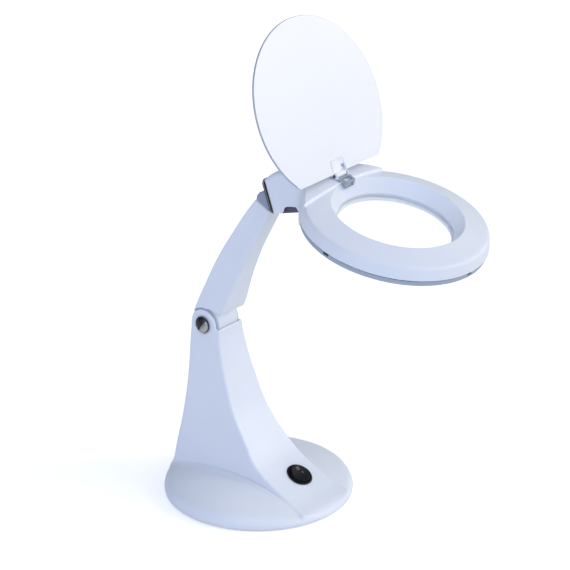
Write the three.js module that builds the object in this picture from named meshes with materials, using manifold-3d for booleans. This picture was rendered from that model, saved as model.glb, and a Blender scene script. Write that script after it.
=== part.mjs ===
// Magnifying lamp: weighted round foot with a flared column, curved arm, ring
// head with a round lens and a hinged round cover lid.  Millimetres, +Z up.
// Origin: centre of the foot's underside.  The lamp faces -Y.
import * as THREE from 'three';
import { mergeVertices } from 'three/addons/utils/BufferGeometryUtils.js';
import Module from 'manifold-3d';

const wasm = await Module();
wasm.setup();

// ---------------------------------------------------------------- dimensions
const GAP = 0.3;                       // clearance between neighbouring pieces

// foot and column
const FOOT_R = 90;                     // radius of the foot
const FOOT_PROFILE = [                 // outer profile of the foot (radius, height)
  [87.6, 0.8], [89.4, 2.5], [90, 5], [89.2, 9], [87.8, 13], [85.2, 15.9],
  [82, 17.4], [76, 19.2], [68, 21.3], [58, 23.4], [45, 25.4], [30, 27.2], [0, 28.4]];
const FOOT_INNER = [[84.5, 3.4], [82, 5.2], [76, 7.5], [68, 10.5], [55, 16.0], [35, 20.5], [0, 22.5]];
const FRONT_DROP = 0.8;                // the foot's dome is this much lower at its front
const SPINE = [                        // front face of the column (full width, y, z)
  [34.7, 33.4, 161], [35.1, 33.1, 157.1], [36.4, 32.8, 152.3], [38.5, 31.2, 142.9],
  [39.8, 28.9, 133.5], [41.0, 26.1, 124.2], [42.6, 23.1, 115], [44.3, 20, 106],
  [45.5, 16.6, 96.8], [47.0, 13, 87.7], [48.6, 8.6, 79], [50.2, 3.2, 70.5],
  [52.0, -2.9, 62.3], [54.8, -8.9, 54.2], [58.4, -14.9, 46.4], [61.2, -22.8, 39],
  [62.4, -33.3, 32.1], [63.2, -45.5, 25.7], [63.8, -58.7, 19.3], [65.6, -69.0, 14.5]];
const COLUMN_REAR = [                  // rear face of the column (half width, y, z)
  [17.2, 68.7, 161], [17.6, 68.8, 157.4], [19.6, 69.2, 137.4], [21.1, 69.5, 117],
  [22.4, 70.4, 101.6], [23.2, 71.3, 91.2], [24.2, 72.5, 80.7], [25.1, 73.7, 70.1],
  [26.6, 75.0, 59.6], [28.5, 76.4, 49.5], [30.5, 77.6, 39.7], [31.6, 79.1, 28.5],
  [32, 81.4, 17.3], [32.4, 82.6, 12]];
const SPINE_RUNOUT = [                 // the front face's run-out to the foot's rim (y, z)
  [-40, 28.7], [-45.5, 25.74], [-58.7, 19.34], [-69, 14.54], [-75, 12.7], [-80, 11.2], [-84, 9.6],
  [-86.8, 7.8], [-88.6, 5.6], [-94, 5.4]];
const WALL = 3;

// lower pivot
const P1 = [0, 52.5, 162.6];           // axis along X
const EAR_IN = 15, EAR_OUT = 17.55, EAR_R = 14.5;
const BARREL_R = 16.4, BARREL_HW = 13.6, SLOT_R = 17;

// arm: stations from bottom to top (half width, front y, front z, rear y, rear z)
const ARM = [
  [17.3, 31.4, 176.2, 67.6, 167.6], [17.0, 27.2, 184.1, 63.0, 178.8], [15.7, 23.3, 194.9, 58.3, 190.6],
  [14.3, 19.1, 205.5, 53.5, 202.0], [13.1, 15.0, 216.4, 48.0, 214.8], [12.0, 10.1, 227.3, 42.0, 227.9],
  [11.4, 5.3, 238.2, 34.9, 241.0], [11.1, 0.1, 249.5, 27.0, 253.6], [10.95, -6.0, 261.0, 18.4, 266.8],
  [10.9, -12.4, 272.7, 9.8, 280.2], [10.85, -18.2, 283.9, 1.2, 292.0], [10.8, -22.2, 292.7, -5.7, 300.8]];
const ARM_WALL = 2.2;

// head frame: centre of the inner top edge, tilted nose down
const HEAD_C = [0, -160.27, 324.32];
const HEAD_TILT = 12.91 * Math.PI / 180;
const RING_PROFILE = [                 // (radius, height) in the head frame, closed loop
  [59.84, 0], [70, -2.84], [81.6, -6.0], [83.2, -6.9], [83.9, -8.6], [85.75, -18.43],
  [56.8, -18.43], [56.8, -20.4], [54.4, -20.4], [54.4, -14.0], [52.4, -13.7], [52.4, -12.35]];
const CHANNEL = [[57.2, -12.5], [62.2, -3.3], [81.3, -8.7], [82.9, -10.6]];
// neck stations, from its open rear end to the step behind the ring:
// half width top, half width bottom, crown, top (u, v), bottom (u, v); u is rearward
const NECK = [
  [21.6, 21.8, 0.8, 134.0, -26.8, 116.0, -54.9],
  [21.9, 22.0, 0.9, 129.3, -20.2, 110.5, -51.3],
  [22.0, 22.0, 1.0, 123.4, -14.0, 104.5, -48.0],
  [22.0, 22.0, 1.1, 116.5, -9.2, 99.5, -45.2],
  [22.0, 22.2, 1.2, 107.5, -5.2, 94.0, -42.0],
  [22.3, 23.0, 1.3, 98.0, -2.2, 89.5, -39.2],
  [25.0, 27.0, 1.9, 90.0, -0.2, 85.5, -36.2],
  [33.0, 34.0, 3.0, 82.0, 1.4, 80.8, -32.4],
  [42.0, 44.0, 4.3, 74.0, 2.3, 74.3, -28.0],
  [50.2, 52.6, 5.4, 66.8, 2.4, 67.3, -24.0],
  [57.0, 60.1, 6.4, 60.5, 1.9, 60.5, -20.6]];
const P2_UV = [117.5, -34.5];          // upper pivot in the head frame

// lens: 3 dioptre, 108 mm
const LENS_R = 54, LENS_SAG = 4.2, LENS_EDGE = 2.2, LENS_TOP = -14.3;
const TUBE_R = 69.5, TUBE_r = 6, TUBE_V = -12.8;

// lid
const LID_R = 82.88, LID_CHORD = 61.1, LID_T = 2.2;
const LID_H = [68.97, 6.11];           // middle of its straight edge (u, v), open
const LID_ANGLE = 126 * Math.PI / 180; // opened from the closed direction
const PIN_UV = [68.0, 4.5];

// ------------------------------------------------------------------- helpers
function solid(g) {
  const c = g.index ? g.clone() : g.clone();
  c.deleteAttribute('normal'); c.deleteAttribute('uv');
  const m = mergeVertices(c, 1e-4);
  let s = new wasm.Manifold(new wasm.Mesh({ numProp: 3,
    vertProperties: new Float32Array(m.attributes.position.array), triVerts: new Uint32Array(m.index.array) }));
  return s;
}
function geometry(s) {
  const m = s.getMesh();
  const g = new THREE.BufferGeometry();
  g.setAttribute('position', new THREE.BufferAttribute(new Float32Array(m.vertProperties), 3));
  g.setIndex(new THREE.BufferAttribute(new Uint32Array(m.triVerts), 1));
  g.computeVertexNormals();
  return g;
}
function signedVolume(pos, idx) {
  let v = 0;
  for (let i = 0; i < idx.length; i += 3) {
    const a = pos[idx[i]], b = pos[idx[i + 1]], c = pos[idx[i + 2]];
    v += a[0] * (b[1] * c[2] - b[2] * c[1]) - a[1] * (b[0] * c[2] - b[2] * c[0]) + a[2] * (b[0] * c[1] - b[1] * c[0]);
  }
  return v / 6;
}
// closed solid through rings of equal point count; ends closed by a fan
function loft(rings, closed = false) {
  const n = rings[0].length, pos = [], idx = [];
  for (const r of rings) for (const p of r) pos.push(p.slice());
  const m = rings.length;
  for (let i = 0; i < (closed ? m : m - 1); i++) for (let j = 0; j < n; j++) {
    const a = i * n + j, b = i * n + (j + 1) % n, k = ((i + 1) % m) * n;
    const c = k + j, d = k + (j + 1) % n;
    idx.push(a, b, d, a, d, c);
  }
  if (!closed) for (const [i, flip] of [[0, true], [m - 1, false]]) {
    const c = [0, 0, 0];
    for (const p of rings[i]) for (let k = 0; k < 3; k++) c[k] += p[k] / n;
    const ci = pos.length; pos.push(c);
    for (let j = 0; j < n; j++) {
      const a = i * n + j, b = i * n + (j + 1) % n;
      if (flip) idx.push(b, a, ci); else idx.push(a, b, ci);
    }
  }
  if (signedVolume(pos, idx) < 0) for (let i = 0; i < idx.length; i += 3) { const t = idx[i]; idx[i] = idx[i + 1]; idx[i + 1] = t; }
  const g = new THREE.BufferGeometry();
  g.setAttribute('position', new THREE.Float32BufferAttribute(pos.flat(), 3));
  g.setIndex(idx);
  return g;
}
const lathe = (pts, seg) => {          // (radius, height) about Z
  let area = 0;
  for (let i = 0; i < pts.length; i++) { const a = pts[i], b = pts[(i + 1) % pts.length]; area += a[0] * b[1] - b[0] * a[1]; }
  const p = area < 0 ? pts.slice().reverse() : pts.slice();
  const v = p.map(([r, z]) => new THREE.Vector2(r, z));
  if (v[0].x > 1e-6 || v[v.length - 1].x > 1e-6) v.push(v[0].clone());
  const g = new THREE.LatheGeometry(v, seg);
  g.rotateX(Math.PI / 2);
  return g;
};
const box = (x0, x1, y0, y1, z0, z1) => {
  const g = new THREE.BoxGeometry(x1 - x0, y1 - y0, z1 - z0);
  g.translate((x0 + x1) / 2, (y0 + y1) / 2, (z0 + z1) / 2);
  return g;
};
const cylX = (r, x0, x1, y, z, seg = 32) => {
  const g = new THREE.CylinderGeometry(r, r, x1 - x0, seg);
  g.rotateZ(Math.PI / 2);
  g.translate((x0 + x1) / 2, y, z);
  return g;
};
const cylZ = (r, z0, z1, x, y, seg = 24) => {
  const g = new THREE.CylinderGeometry(r, r, z1 - z0, seg);
  g.rotateX(Math.PI / 2);
  g.translate(x, y, (z0 + z1) / 2);
  return g;
};
const cylY = (r, y0, y1, x, z, seg = 24) => {
  const g = new THREE.CylinderGeometry(r, r, y1 - y0, seg);
  g.translate(x, (y0 + y1) / 2, z);
  return g;
};
// polygon in (y, z) extruded along X
const prismX = (pts, x0, x1) => {
  const s = new THREE.Shape(pts.map(([y, z]) => new THREE.Vector2(y, z)));
  const g = new THREE.ExtrudeGeometry(s, { depth: x1 - x0, bevelEnabled: false });
  g.applyMatrix4(new THREE.Matrix4().set(0, 0, 1, x0, 1, 0, 0, 0, 0, 1, 0, 0, 0, 0, 0, 1));
  return g;
};
const circle = (cy, cz, r, a0, a1, n) => Array.from({ length: n + 1 }, (_, i) => {
  const a = a0 + (a1 - a0) * i / n;
  return [cy + r * Math.cos(a), cz + r * Math.sin(a)];
});
const S = solid;
const all = (...g) => g.map(k => (k.attributes ? S(k) : k)).reduce((a, b) => a.add(b));
const cut = (a, ...g) => g.map(k => (k.attributes ? S(k) : k)).reduce((p, b) => p.subtract(b), a.attributes ? S(a) : a);

const interp = (tab, z, col, zc) => {
  const t = tab.slice().sort((a, b) => a[zc] - b[zc]);
  if (z <= t[0][zc]) return t[0][col];
  for (let i = 0; i < t.length - 1; i++) if (z <= t[i + 1][zc]) {
    const k = (z - t[i][zc]) / (t[i + 1][zc] - t[i][zc]);
    return t[i][col] + k * (t[i + 1][col] - t[i][col]);
  }
  return t[t.length - 1][col];
};
// outline with rounded corners; corners in order, radii per corner
function rounded(corners, radii, n = 3) {
  const out = [], m = corners.length;
  for (let i = 0; i < m; i++) {
    const p = corners[i], a = corners[(i + m - 1) % m], b = corners[(i + 1) % m], r = radii[i];
    const u = [a[0] - p[0], a[1] - p[1]], v = [b[0] - p[0], b[1] - p[1]];
    const lu = Math.hypot(...u), lv = Math.hypot(...v);
    const cosA = (u[0] * v[0] + u[1] * v[1]) / (lu * lv), half = Math.acos(cosA) / 2;
    const d = Math.min(r / Math.tan(half), lu * 0.45, lv * 0.45);
    const s = [p[0] + u[0] / lu * d, p[1] + u[1] / lu * d], e = [p[0] + v[0] / lv * d, p[1] + v[1] / lv * d];
    for (let k = 0; k <= n; k++) {
      const t = k / n;                 // quadratic blend through the corner
      out.push([(1 - t) ** 2 * s[0] + 2 * t * (1 - t) * p[0] + t * t * e[0],
        (1 - t) ** 2 * s[1] + 2 * t * (1 - t) * p[1] + t * t * e[1]]);
    }
  }
  return out;
}

// head frame placement: local x, local y = rearward (u), local z = up (v)
const headMatrix = new THREE.Matrix4().makeRotationX(HEAD_TILT).setPosition(...HEAD_C);
const headToWorld = (x, u, v) => {
  const p = new THREE.Vector3(x, u, v).applyMatrix4(headMatrix);
  return [p.x, p.y, p.z];
};
const P2 = headToWorld(0, P2_UV[0], P2_UV[1]);

// ------------------------------------------------------------------ the foot
const bend = g => {                    // lower the dome towards the front
  const p = g.attributes.position;
  for (let i = 0; i < p.count; i++) {
    const y = p.getY(i), z = p.getZ(i);
    if (y < 0 && z > 5) p.setZ(i, 5 + (z - 5) * (1 - FRONT_DROP * Math.pow(-y / FOOT_R, 2.7)));
  }
  return g;
};
const foot = bend(lathe([[0, 0.8], ...FOOT_PROFILE], 60));
const columnRing = (z, inset, front = 0) => {
  const w = interp(SPINE, z, 0, 2) / 2 - inset, yf = interp(SPINE, z, 1, 2) + (inset ? inset * 1.35 : 0) + front;
  const xr = interp(COLUMN_REAR, z, 0, 2) - inset, yr = interp(COLUMN_REAR, z, 1, 2) - inset;
  return rounded([[-w, yf], [w, yf], [xr, yr], [-xr, yr]], [2.6, 2.6, 3.2, 3.2], inset ? 1 : 3).map(([x, y]) => [x, y, z]);
};
const columnZ = [14.5, 19.3, 25.7, 32.1, 39, 46.4, 54.2, 62.3, 70.5, 79, 87.7, 96.8, 106, 115, 124.2, 142.9, 161];
const column = loft(columnZ.map(z => columnRing(z, 0)));
const hollowColumn = loft([12, 25.7, 39, 54.2, 70.5, 96.8, 138].map(z => columnRing(z, WALL, z < 26 ? 6 : 0)));
const hollowFoot = lathe([[0, -2], [84.5, -2], ...FOOT_INNER], 36);
const frontPanel = S(prismX([...SPINE_RUNOUT.slice(2, -1).map(p => [p[0], p[1] - 0.02]), [-88.6, 4], [-58.7, 4]], -36, 36))
  .intersect(S(loft([4, 22].map(z => [[-31.9, -58.7], [-32.8, -69], [-35.4, -82], [-35.4, -90], [35.4, -90], [35.4, -82], [32.8, -69], [31.9, -58.7]].reverse().map(([x, y]) => [x, y, z])))))
  .intersect(S(cylZ(88.9, 3, 30, 0, 0, 60)));
const runOut = prismX([...SPINE_RUNOUT.map(p => [p[0], p[1]]), [-94, 34], [-40, 34]], -34.5, 34.5);
const postSolids = [[48, 75], [104, 69]].map(([z, y]) => cylY(3, 49.9, y, 0, z, 16));

// switch seat on the front face
const SW_SLOPE = Math.atan(0.504);     // slope of the front face at the switch
const SW_C = [6, -44.6, 26.35];        // centre of the switch on the face
const swMatrix = new THREE.Matrix4().makeRotationX(SW_SLOPE).setPosition(...SW_C);
const sw = g => { g.applyMatrix4(swMatrix); return g; };

let shell = all(foot, column, frontPanel);
shell = cut(shell, runOut, hollowFoot, hollowColumn);
shell = all(shell, ...postSolids);
// two ears around the knuckle
const earBlock = (x0, x1) => S(prismX([[P1[1] + EAR_R, 150], [P1[1] + EAR_R, P1[2]],
  ...circle(P1[1], P1[2], EAR_R, 0, Math.PI, 20).slice(1), [P1[1] - EAR_R, 150]], x0, x1));
shell = all(shell, earBlock(-EAR_OUT, -EAR_IN + 0.02), earBlock(EAR_IN - 0.02, EAR_OUT));
shell = cut(shell, cylX(SLOT_R, -EAR_IN, EAR_IN, P1[1], P1[2], 64), box(-EAR_IN, EAR_IN, P1[1], 75, 154, 200),
  cylX(3.3, -30, 30, P1[1], P1[2], 24), sw(cylZ(11.2, -30, 20, 0, 0, 40)),
  cylY(4.3, 60, 100, 0, 8.6, 20));
const bottomScrewAt = [[42, 42], [-42, 42], [-42, -42], [42, -42]];

// -------------------------------------------------------------- head housing
const headRing = lathe(RING_PROFILE, 72);
const neckRing = ([ht, hb, crown, ut, vt, ub, vb], inset) => {
  const top = ht - inset, bot = hb - inset, n = 8, pts = [];
  const du = ub - ut, dv = vb - vt, L = Math.hypot(du, dv), eu = du / L, ev = dv / L;
  const at = (x, s) => [x, ut + eu * s, vt + ev * s];
  const lift = Math.max(0, Math.min(1, (hb - 24) / 20)) * Math.max(0, -18.43 - vb);   // the flare's underside rises to the ring
  const r = 3.2;                       // rounded top edges
  for (let i = 0; i <= n; i++) {
    const x = -top + 2 * top * i / n;
    let s = crown * (x / ht) ** 2 + inset;
    if (i === 0 || i === n) s += r;
    pts.push(at(x, s));
    if (i === 0) pts.push(at(x * (1 - 0.25 * r / top), crown + inset + r * 0.28));
    if (i === n - 1) pts.push(at(top * (1 - 0.25 * r / top), crown + inset + r * 0.28));
  }
  pts.push(at(bot, L - inset - 2.2 - lift), at(bot - 1.6, L - inset - 0.4 - lift), at(bot * 0.45, L - inset), at(-bot * 0.45, L - inset), at(-bot + 1.6, L - inset - 0.4 - lift), at(-bot, L - inset - 2.2 - lift));
  return pts;
};
const lastNeck = NECK[NECK.length - 1];
const stepDown = [58, 60.2, 2, 60.5, -8.2, 60.5, -20.6];
const endNeck = [60, 71.5, 1, 46, -12, 46, -18.43];
const neckOuter = loft([...NECK, stepDown, endNeck].map(s => neckRing(s, 0)));
const beyond = (s, d) => {             // a station moved past the open end
  const [ht, hb, c, ut, vt, ub, vb] = s, n = [-(vb - vt), ub - ut], L = Math.hypot(...n);
  const k = (n[0] > 0 ? 1 : -1) * d / L;
  return [ht, hb, c, ut + n[0] * k, vt + n[1] * k, ub + n[0] * k, vb + n[1] * k];
};
const neckInner = loft([beyond(NECK[0], 4), ...NECK.slice(0, 9), [45.5, 47.5, 4.8, 70.4, 2.35, 70.7, -26]].map(s => neckRing(s, 2.5)));
const channelTop = -19;
const channel = lathe([[57.2, channelTop], ...CHANNEL, [82.9, channelTop]], 48);
const channelLow = all(cut(lathe([[57.2, -40], [57.2, -18], [83.2, -18], [83.2, -40]], 48), box(-200, 200, 60.2, 200, -60, 60)),
  cut(lathe([[60, -40], [60, -18.44], [85.3, -18.44], [85.3, -40]], 48), box(-200, 200, 60.2, 200, -60, 60)));
const screwAngles = [40, -40, 125, -125].map(a => a * Math.PI / 180);
const screwAt = screwAngles.map(a => [80.3 * Math.sin(a), -80.3 * Math.cos(a)]);
const bossSolids = screwAt.map(([x, u]) => cylZ(3.3, -18.43, -9.2, x, u, 16));
const pivotBoss = sgn => cylX(7.5, Math.min(sgn * 9.8, sgn * 20), Math.max(sgn * 9.8, sgn * 20), P2_UV[0], P2_UV[1], 24);
let housing = all(headRing, neckOuter);
housing = cut(housing, channel, channelLow, neckInner, lathe([[0, -60], [54.4, -60], [54.4, -14], [52.4, -13.7], [52.4, -12.35], [59.84, 0], [62, 3.45], [62, 20], [0, 20]], 72));
housing = all(housing, ...bossSolids, pivotBoss(1), pivotBoss(-1));
housing = cut(housing, ...screwAt.map(([x, u]) => cylZ(1.7, -30, -11, x, u, 12)),
  cylX(2.8, -20.7, 20.7, P2_UV[0], P2_UV[1], 20), box(-6.8, 6.8, 64.6, 71.6, 1.4, 10),
  // slot in the neck's underside for the knuckle
  prismX([[140, -30], [112, -38], [93, -30], [86, -60], [100, -75], [150, -75]], -10.4, 10.4),
  // small notch in each lower side edge
  prismX([[105.4, -52], [104.0, -42.0], [102.4, -40.6], [91.4, -35.4], [89.6, -36.0], [87.0, -44]], 18.6, 34),
  prismX([[105.4, -52], [104.0, -42.0], [102.4, -40.6], [91.4, -35.4], [89.6, -36.0], [87.0, -44]], -34, -18.6));

// dark frame on the neck's open end
const rimOuter = loft([0.35, 1.5, 2.4].map((d, i) => neckRing(beyond(NECK[0], d), [0.1, 0.1, 0.9][i])));
const rimInner = loft([-2, 6].map(d => neckRing(beyond(NECK[0], d), 2.9)));
const neckRim = cut(rimOuter, rimInner, prismX([[140, -34], [112, -38], [86, -60], [100, -75], [150, -75]], -10.4, 10.4));

// lower cover of the ring
let cover = S(lathe([[77.2, -18.75], [84.6, -18.75], [84.85, -20.6], [84.5, -23.2], [83.9, -23.95], [83.3, -23.95], [83.2, -22.3], [77.2, -22.3]], 64));
cover = cut(cover, box(-70, 70, 59.9, 120, -40, 0), ...screwAt.map(([x, u]) => cylZ(1.7, -30, -11, x, u, 12)));
for (const a of [0, -97.6, 97.6]) {
  const g = box(-3.2, 3.2, -90, -82.9, -21.6, -18);
  g.rotateZ(a * Math.PI / 180 * -1);
  cover = cut(cover, g);
}

const lens = lathe([[0, LENS_TOP + LENS_SAG],
  ...[18, 36, 54].map(r => [r, LENS_TOP + LENS_SAG * (1 - (r / LENS_R) ** 2)]),
  ...[54, 36, 18].map(r => [r, LENS_TOP - LENS_EDGE - LENS_SAG * (1 - (r / LENS_R) ** 2)]),
  [0, LENS_TOP - LENS_EDGE - LENS_SAG]], 56);
const retainer = lathe([[51.2, -17.4], [54.1, -17.0], [54.1, -20.0], [51.6, -20.0]], 48);

// circular lamp tube, open for its holder at the rear
const tubeRings = [];
for (let i = 0; i <= 36; i++) {
  const a = (9.6 + (360 - 19.2) * i / 36) * Math.PI / 180; // from the rear
  const ring = [];
  for (let j = 0; j < 8; j++) {
    const b = j / 8 * 2 * Math.PI, R = TUBE_R + TUBE_r * Math.cos(b);
    ring.push([R * Math.sin(a), R * Math.cos(a), TUBE_V + TUBE_r * Math.sin(b)]);
  }
  tubeRings.push(ring);
}
const lampTube = loft(tubeRings);
const lampHolder = cut(box(-10.6, 10.6, 61.5, 78.5, -18.5, -9), box(-3, 3, 66, 73, -19, -16.5));
const clip = a => {
  const g = cut(prismX([[-61.8, -4.1], [-61.8, -16], [-77.2, -16], [-77.2, -8.3]], -2.5, 2.5),
    cylX(TUBE_r + 0.35, -4, 4, -TUBE_R, TUBE_V, 24), box(-4, 4, -TUBE_R - 5, -TUBE_R + 5, -20, TUBE_V - 1));
  const out = geometry(g);
  out.rotateZ(a);
  return out;
};
const headScrew = lathe([[0, -12], [1.4, -12.6], [1.4, -22.6], [2.9, -22.6], [2.7, -23.7], [1.8, -24.2], [0, -24.2]], 10);

// ------------------------------------------------------------------- the arm
const armRing = ([hw, yf, zf, yr, zr], inset, r = 3.0) => {
  const dy = yr - yf, dz = zr - zf, D = Math.hypot(dy, dz), ey = dy / D, ez = dz / D;
  const h = hw - inset, a = inset, b = D - inset;
  return rounded([[-h, a], [h, a], [h, b], [-h, b]], [r, r, r, r], 3).map(([x, s]) => [x, yf + ey * s, zf + ez * s]);
};
const extend = (s, t, k) => s.map((v, i) => (i === 0 ? v : v + (v - t[i]) * k));
let arm = S(loft(ARM.map(s => armRing(s, 0))));
const armTop = extend(ARM[11], ARM[10], 0.6);
arm = cut(arm, loft([...ARM.slice(2), armTop].map(s => armRing(s, ARM_WALL, 2))));
// underside: clear of the two ears, leaving the knuckle between them
const arch = (x0, x1) => S(prismX([...circle(P1[1], P1[2], EAR_R + 1.5, 0.30, Math.PI * 0.60, 18), [46.0, 179.2], [38, 178.9], [20, 176.0], [20, 150], [80, 150], [80, 166.5]], x0, x1));
arm = cut(arm, arch(-25, -BARREL_HW - 0.0), arch(BARREL_HW, 25));
const barrel = cylX(BARREL_R, -BARREL_HW, BARREL_HW, P1[1], P1[2], 48);
const root = prismX([[39.6, 173.4], [35.2, 178.2], [33, 183], [60, 180], [66.6, 171], [66, 165], [46, 160]], -BARREL_HW, BARREL_HW);
arm = cut(arm, box(-BARREL_HW, BARREL_HW, 20, 38.4, 160, 176.8));
arm = all(arm, barrel, root);
arm = cut(arm, cylX(3.3, -20, 20, P1[1], P1[2], 24));

// knuckle at the arm's top
const tn = [-0.4403, 0.8978];          // along the arm at its end, in (y, z)
const tongueLine = [
  [-2.9, 288.6], [-8.4, 299.2], [-8.5, 300.0], [-6.5, 301.0], [-7.0, 304.6], [-9.6, 307.8], [-14.1, 309.6],
  ...circle(P2[1], P2[2], 8.5, 0.95, Math.PI + 0.95, 12),
  [-22.4, 293.4], [-19.9, 294.4], [-14.9, 284.2]];
const plugSide = [[-2.0, 302.6], [-25.0, 291.4], [-16, 274], [6, 285]];
const knuckle = cut(prismX(tongueLine, -8.3, 8.3), cylX(2.8, -12, 12, P2[1], P2[2], 20),
  prismX(plugSide, 7.6, 12), prismX(plugSide, -12, -7.6));

// --------------------------------------------------------------------- hinge
// bracket with two ears behind the lens opening and a square clip over its edge
const earLine = [[64.5, 2.8], [63.8, 4.6], [65.2, 6.9], [67.6, 7.6], [70.0, 7.0], [76.6, 8.6], [78.0, 7.9], [77.4, 6.4], [72.6, 3.2], [71.8, 2.8]];
let bracket = all(
  prismX([[60.9, 2.8], [60.9, 4.2], [73.4, 4.2], [74.6, 3.1], [74.6, 2.8]], -8.6, 8.6),
  prismX(earLine, -8.4, -6.9), prismX(earLine, 6.9, 8.4),
  prismX([[63.2, 2.75], [61.2, 2.6], [57.4, -2.6], [55.2, -2.4], [55.2, 4.6], [63.2, 4.6]].map(p => p), -6.5, 6.5));
bracket = cut(bracket, box(-6.8, 6.8, 64.9, 71.4, -3, 12), cylX(1.45, -12, 12, PIN_UV[0], PIN_UV[1], 16),
  box(-4.3, 4.3, 56.6, 61.8, 3.4, 9), box(-2.6, 2.6, 53, 56, -0.9, 1.3));
const pin = cylX(1.2, -9.4, 9.4, PIN_UV[0], PIN_UV[1], 16);
// step the bracket down over the ring's inner edge without touching it
bracket = cut(bracket, prismX([[59.3, -5], [59.55, 0.3], [60.2, 0.3], [60.2, 2.5], [62, 2.7], [80, 2.7], [80, -5]], -20, 20),
  prismX([[57.2, -5], [59.55, 0.31], [66, 0.31], [66, -5]], -20, 20));

// lid: local x, s along the lid from its straight edge, t through its thickness
const lidDir = [-Math.cos(LID_ANGLE), Math.sin(LID_ANGLE)];      // (u, v)
const lidFrame = new THREE.Matrix4().set(
  1, 0, 0, 0,
  0, lidDir[0], -lidDir[1], LID_H[0],
  0, lidDir[1], lidDir[0], LID_H[1],
  0, 0, 0, 1);
const half = Math.sqrt(LID_R ** 2 - LID_CHORD ** 2);
const lidShape = new THREE.Shape();
const a0 = Math.atan2(-LID_CHORD, half);
lidShape.moveTo(9.2, 0);
lidShape.lineTo(half, 0);
for (let i = 1; i <= 88; i++) {
  const a = a0 + (Math.PI - 2 * a0) * i / 88;
  lidShape.lineTo(LID_R * Math.cos(a), LID_CHORD + LID_R * Math.sin(a));
}
lidShape.lineTo(-9.2, 0);
lidShape.lineTo(-9.2, 12);
lidShape.lineTo(9.2, 12);
const lid = new THREE.ExtrudeGeometry(lidShape, { depth: LID_T, bevelEnabled: false });
lid.translate(0, 0, -LID_T / 2);
lid.applyMatrix4(lidFrame);
// hinge leaf: barrel on the pin, web through the lid's cut-out, plate behind the lid
const inv = lidFrame.clone().invert();
const pinLocal = new THREE.Vector3(0, PIN_UV[0], PIN_UV[1]).applyMatrix4(inv);
let leaf = all(cylX(2.5, -6.4, 6.4, pinLocal.y, pinLocal.z, 20),
  box(-6.4, 6.4, pinLocal.y, 18.5, -LID_T / 2 - 1.6, -LID_T / 2 - 0.3));
leaf = cut(leaf, cylX(1.45, -12, 12, pinLocal.y, pinLocal.z, 16));
const leafG = geometry(leaf);
leafG.applyMatrix4(lidFrame);

// --------------------------------------------------------- small base pieces
const pad = cut(cylZ(80, 0, 1.45, 0, 0, 48), ...bottomScrewAt.map(([x, y]) => cylZ(5, -1, 3, x, y, 12)));
const bottomCover = cut(cylZ(84.1, 1.75, 3.15, 0, 0, 48), ...bottomScrewAt.map(([x, y]) => cylZ(2.1, -1, 5, x, y, 12)));
const weight = cut(cylZ(63, 3.5, 11.4, 0, 0, 48), ...bottomScrewAt.map(([x, y]) => cylZ(2.1, -1, 20, x, y, 12)),
  box(-12, 24, -70, -22, 0, 20), cylY(6, 30, 70, 0, 8.6, 16));
const bottomScrew = lathe([[0, 0.35], [3.2, 0.45], [3.5, 0.9], [3.4, 1.45], [1.8, 1.45], [1.8, 9.5], [0.8, 10.6], [0, 10.6]], 10);
const board = box(-13, 13, 48, 49.6, 42, 112);
const choke = cut(box(-11, 11, 34, 47.7, 50, 78), box(-11.5, 11.5, 33, 36, 56, 72));
const gland = cut(all(cylY(4.0, 72, 91, 0, 8.6, 24), cylY(6.0, 90.2, 92.2, 0, 8.6, 24)), cylY(2.6, 60, 100, 0, 8.6, 16));

const bezel = cut(lathe([[0, -9], [10.9, -9], [10.9, 0.5], [12.85, 0.5], [12.6, 1.5], [11.2, 2.1], [0, 2.1]], 36), cylZ(10.3, -20, 10, 0, 0, 36));
const bezelG = sw(geometry(bezel));
const swBody = sw(geometry(cut(all(cylZ(9.9, -16, -5.5, 0, 0, 32), box(-3.2, 3.2, -5.5, -4.3, -20, -15.8), box(-3.2, 3.2, 4.3, 5.5, -20, -15.8)), box(-7.5, 7.5, -7.5, 7.5, -7.4, -4))));
// rocker: disc with a shallow saddle top, stored tipped towards the upper mark
const ROCK = 8 * Math.PI / 180;
let rocker = cut(cylZ(9.75, -4.4, 4.6, 0, 0, 40), cylX(40, -20, 20, 0, 42.6, 96), box(-20, 20, -20, -5.5, -10, -1.2), box(-20, 20, 5.5, 20, -10, -1.2));
const rockerG = geometry(rocker);
rockerG.rotateX(ROCK);
sw(rockerG);

// lower pivot screw: domed slotted head on the left, nut on the right
let pivotScrew = S(lathe([[0, -21.9], [2.6, -21.7], [5.2, -21.0], [7.2, -19.9], [8.2, -18.8], [8.2, -18.35], [3.0, -18.35], [3.0, 20.9], [0, 20.9]], 24));
pivotScrew = cut(pivotScrew, box(-1.05, 1.05, -12, 12, -24, -20.3));
const pivotScrewG = geometry(pivotScrew);
pivotScrewG.rotateZ(-0.95);
pivotScrewG.rotateY(Math.PI / 2);
pivotScrewG.translate(0, P1[1], P1[2]);
const nutG = geometry(cut(lathe([[0, 18.35], [7.4, 18.35], [7.6, 19.0], [7.0, 21.1], [5.2, 21.8], [0, 21.8]], 6), cylZ(3.15, 10, 30, 0, 0, 20)));
nutG.rotateY(Math.PI / 2);
nutG.translate(0, P1[1], P1[2]);
const ringX = (ro, ri, x0, x1, y, z, seg = 32) => cut(cylX(ro, x0, x1, y, z, seg), cylX(ri, x0 - 1, x1 + 1, y, z, 20));

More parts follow.
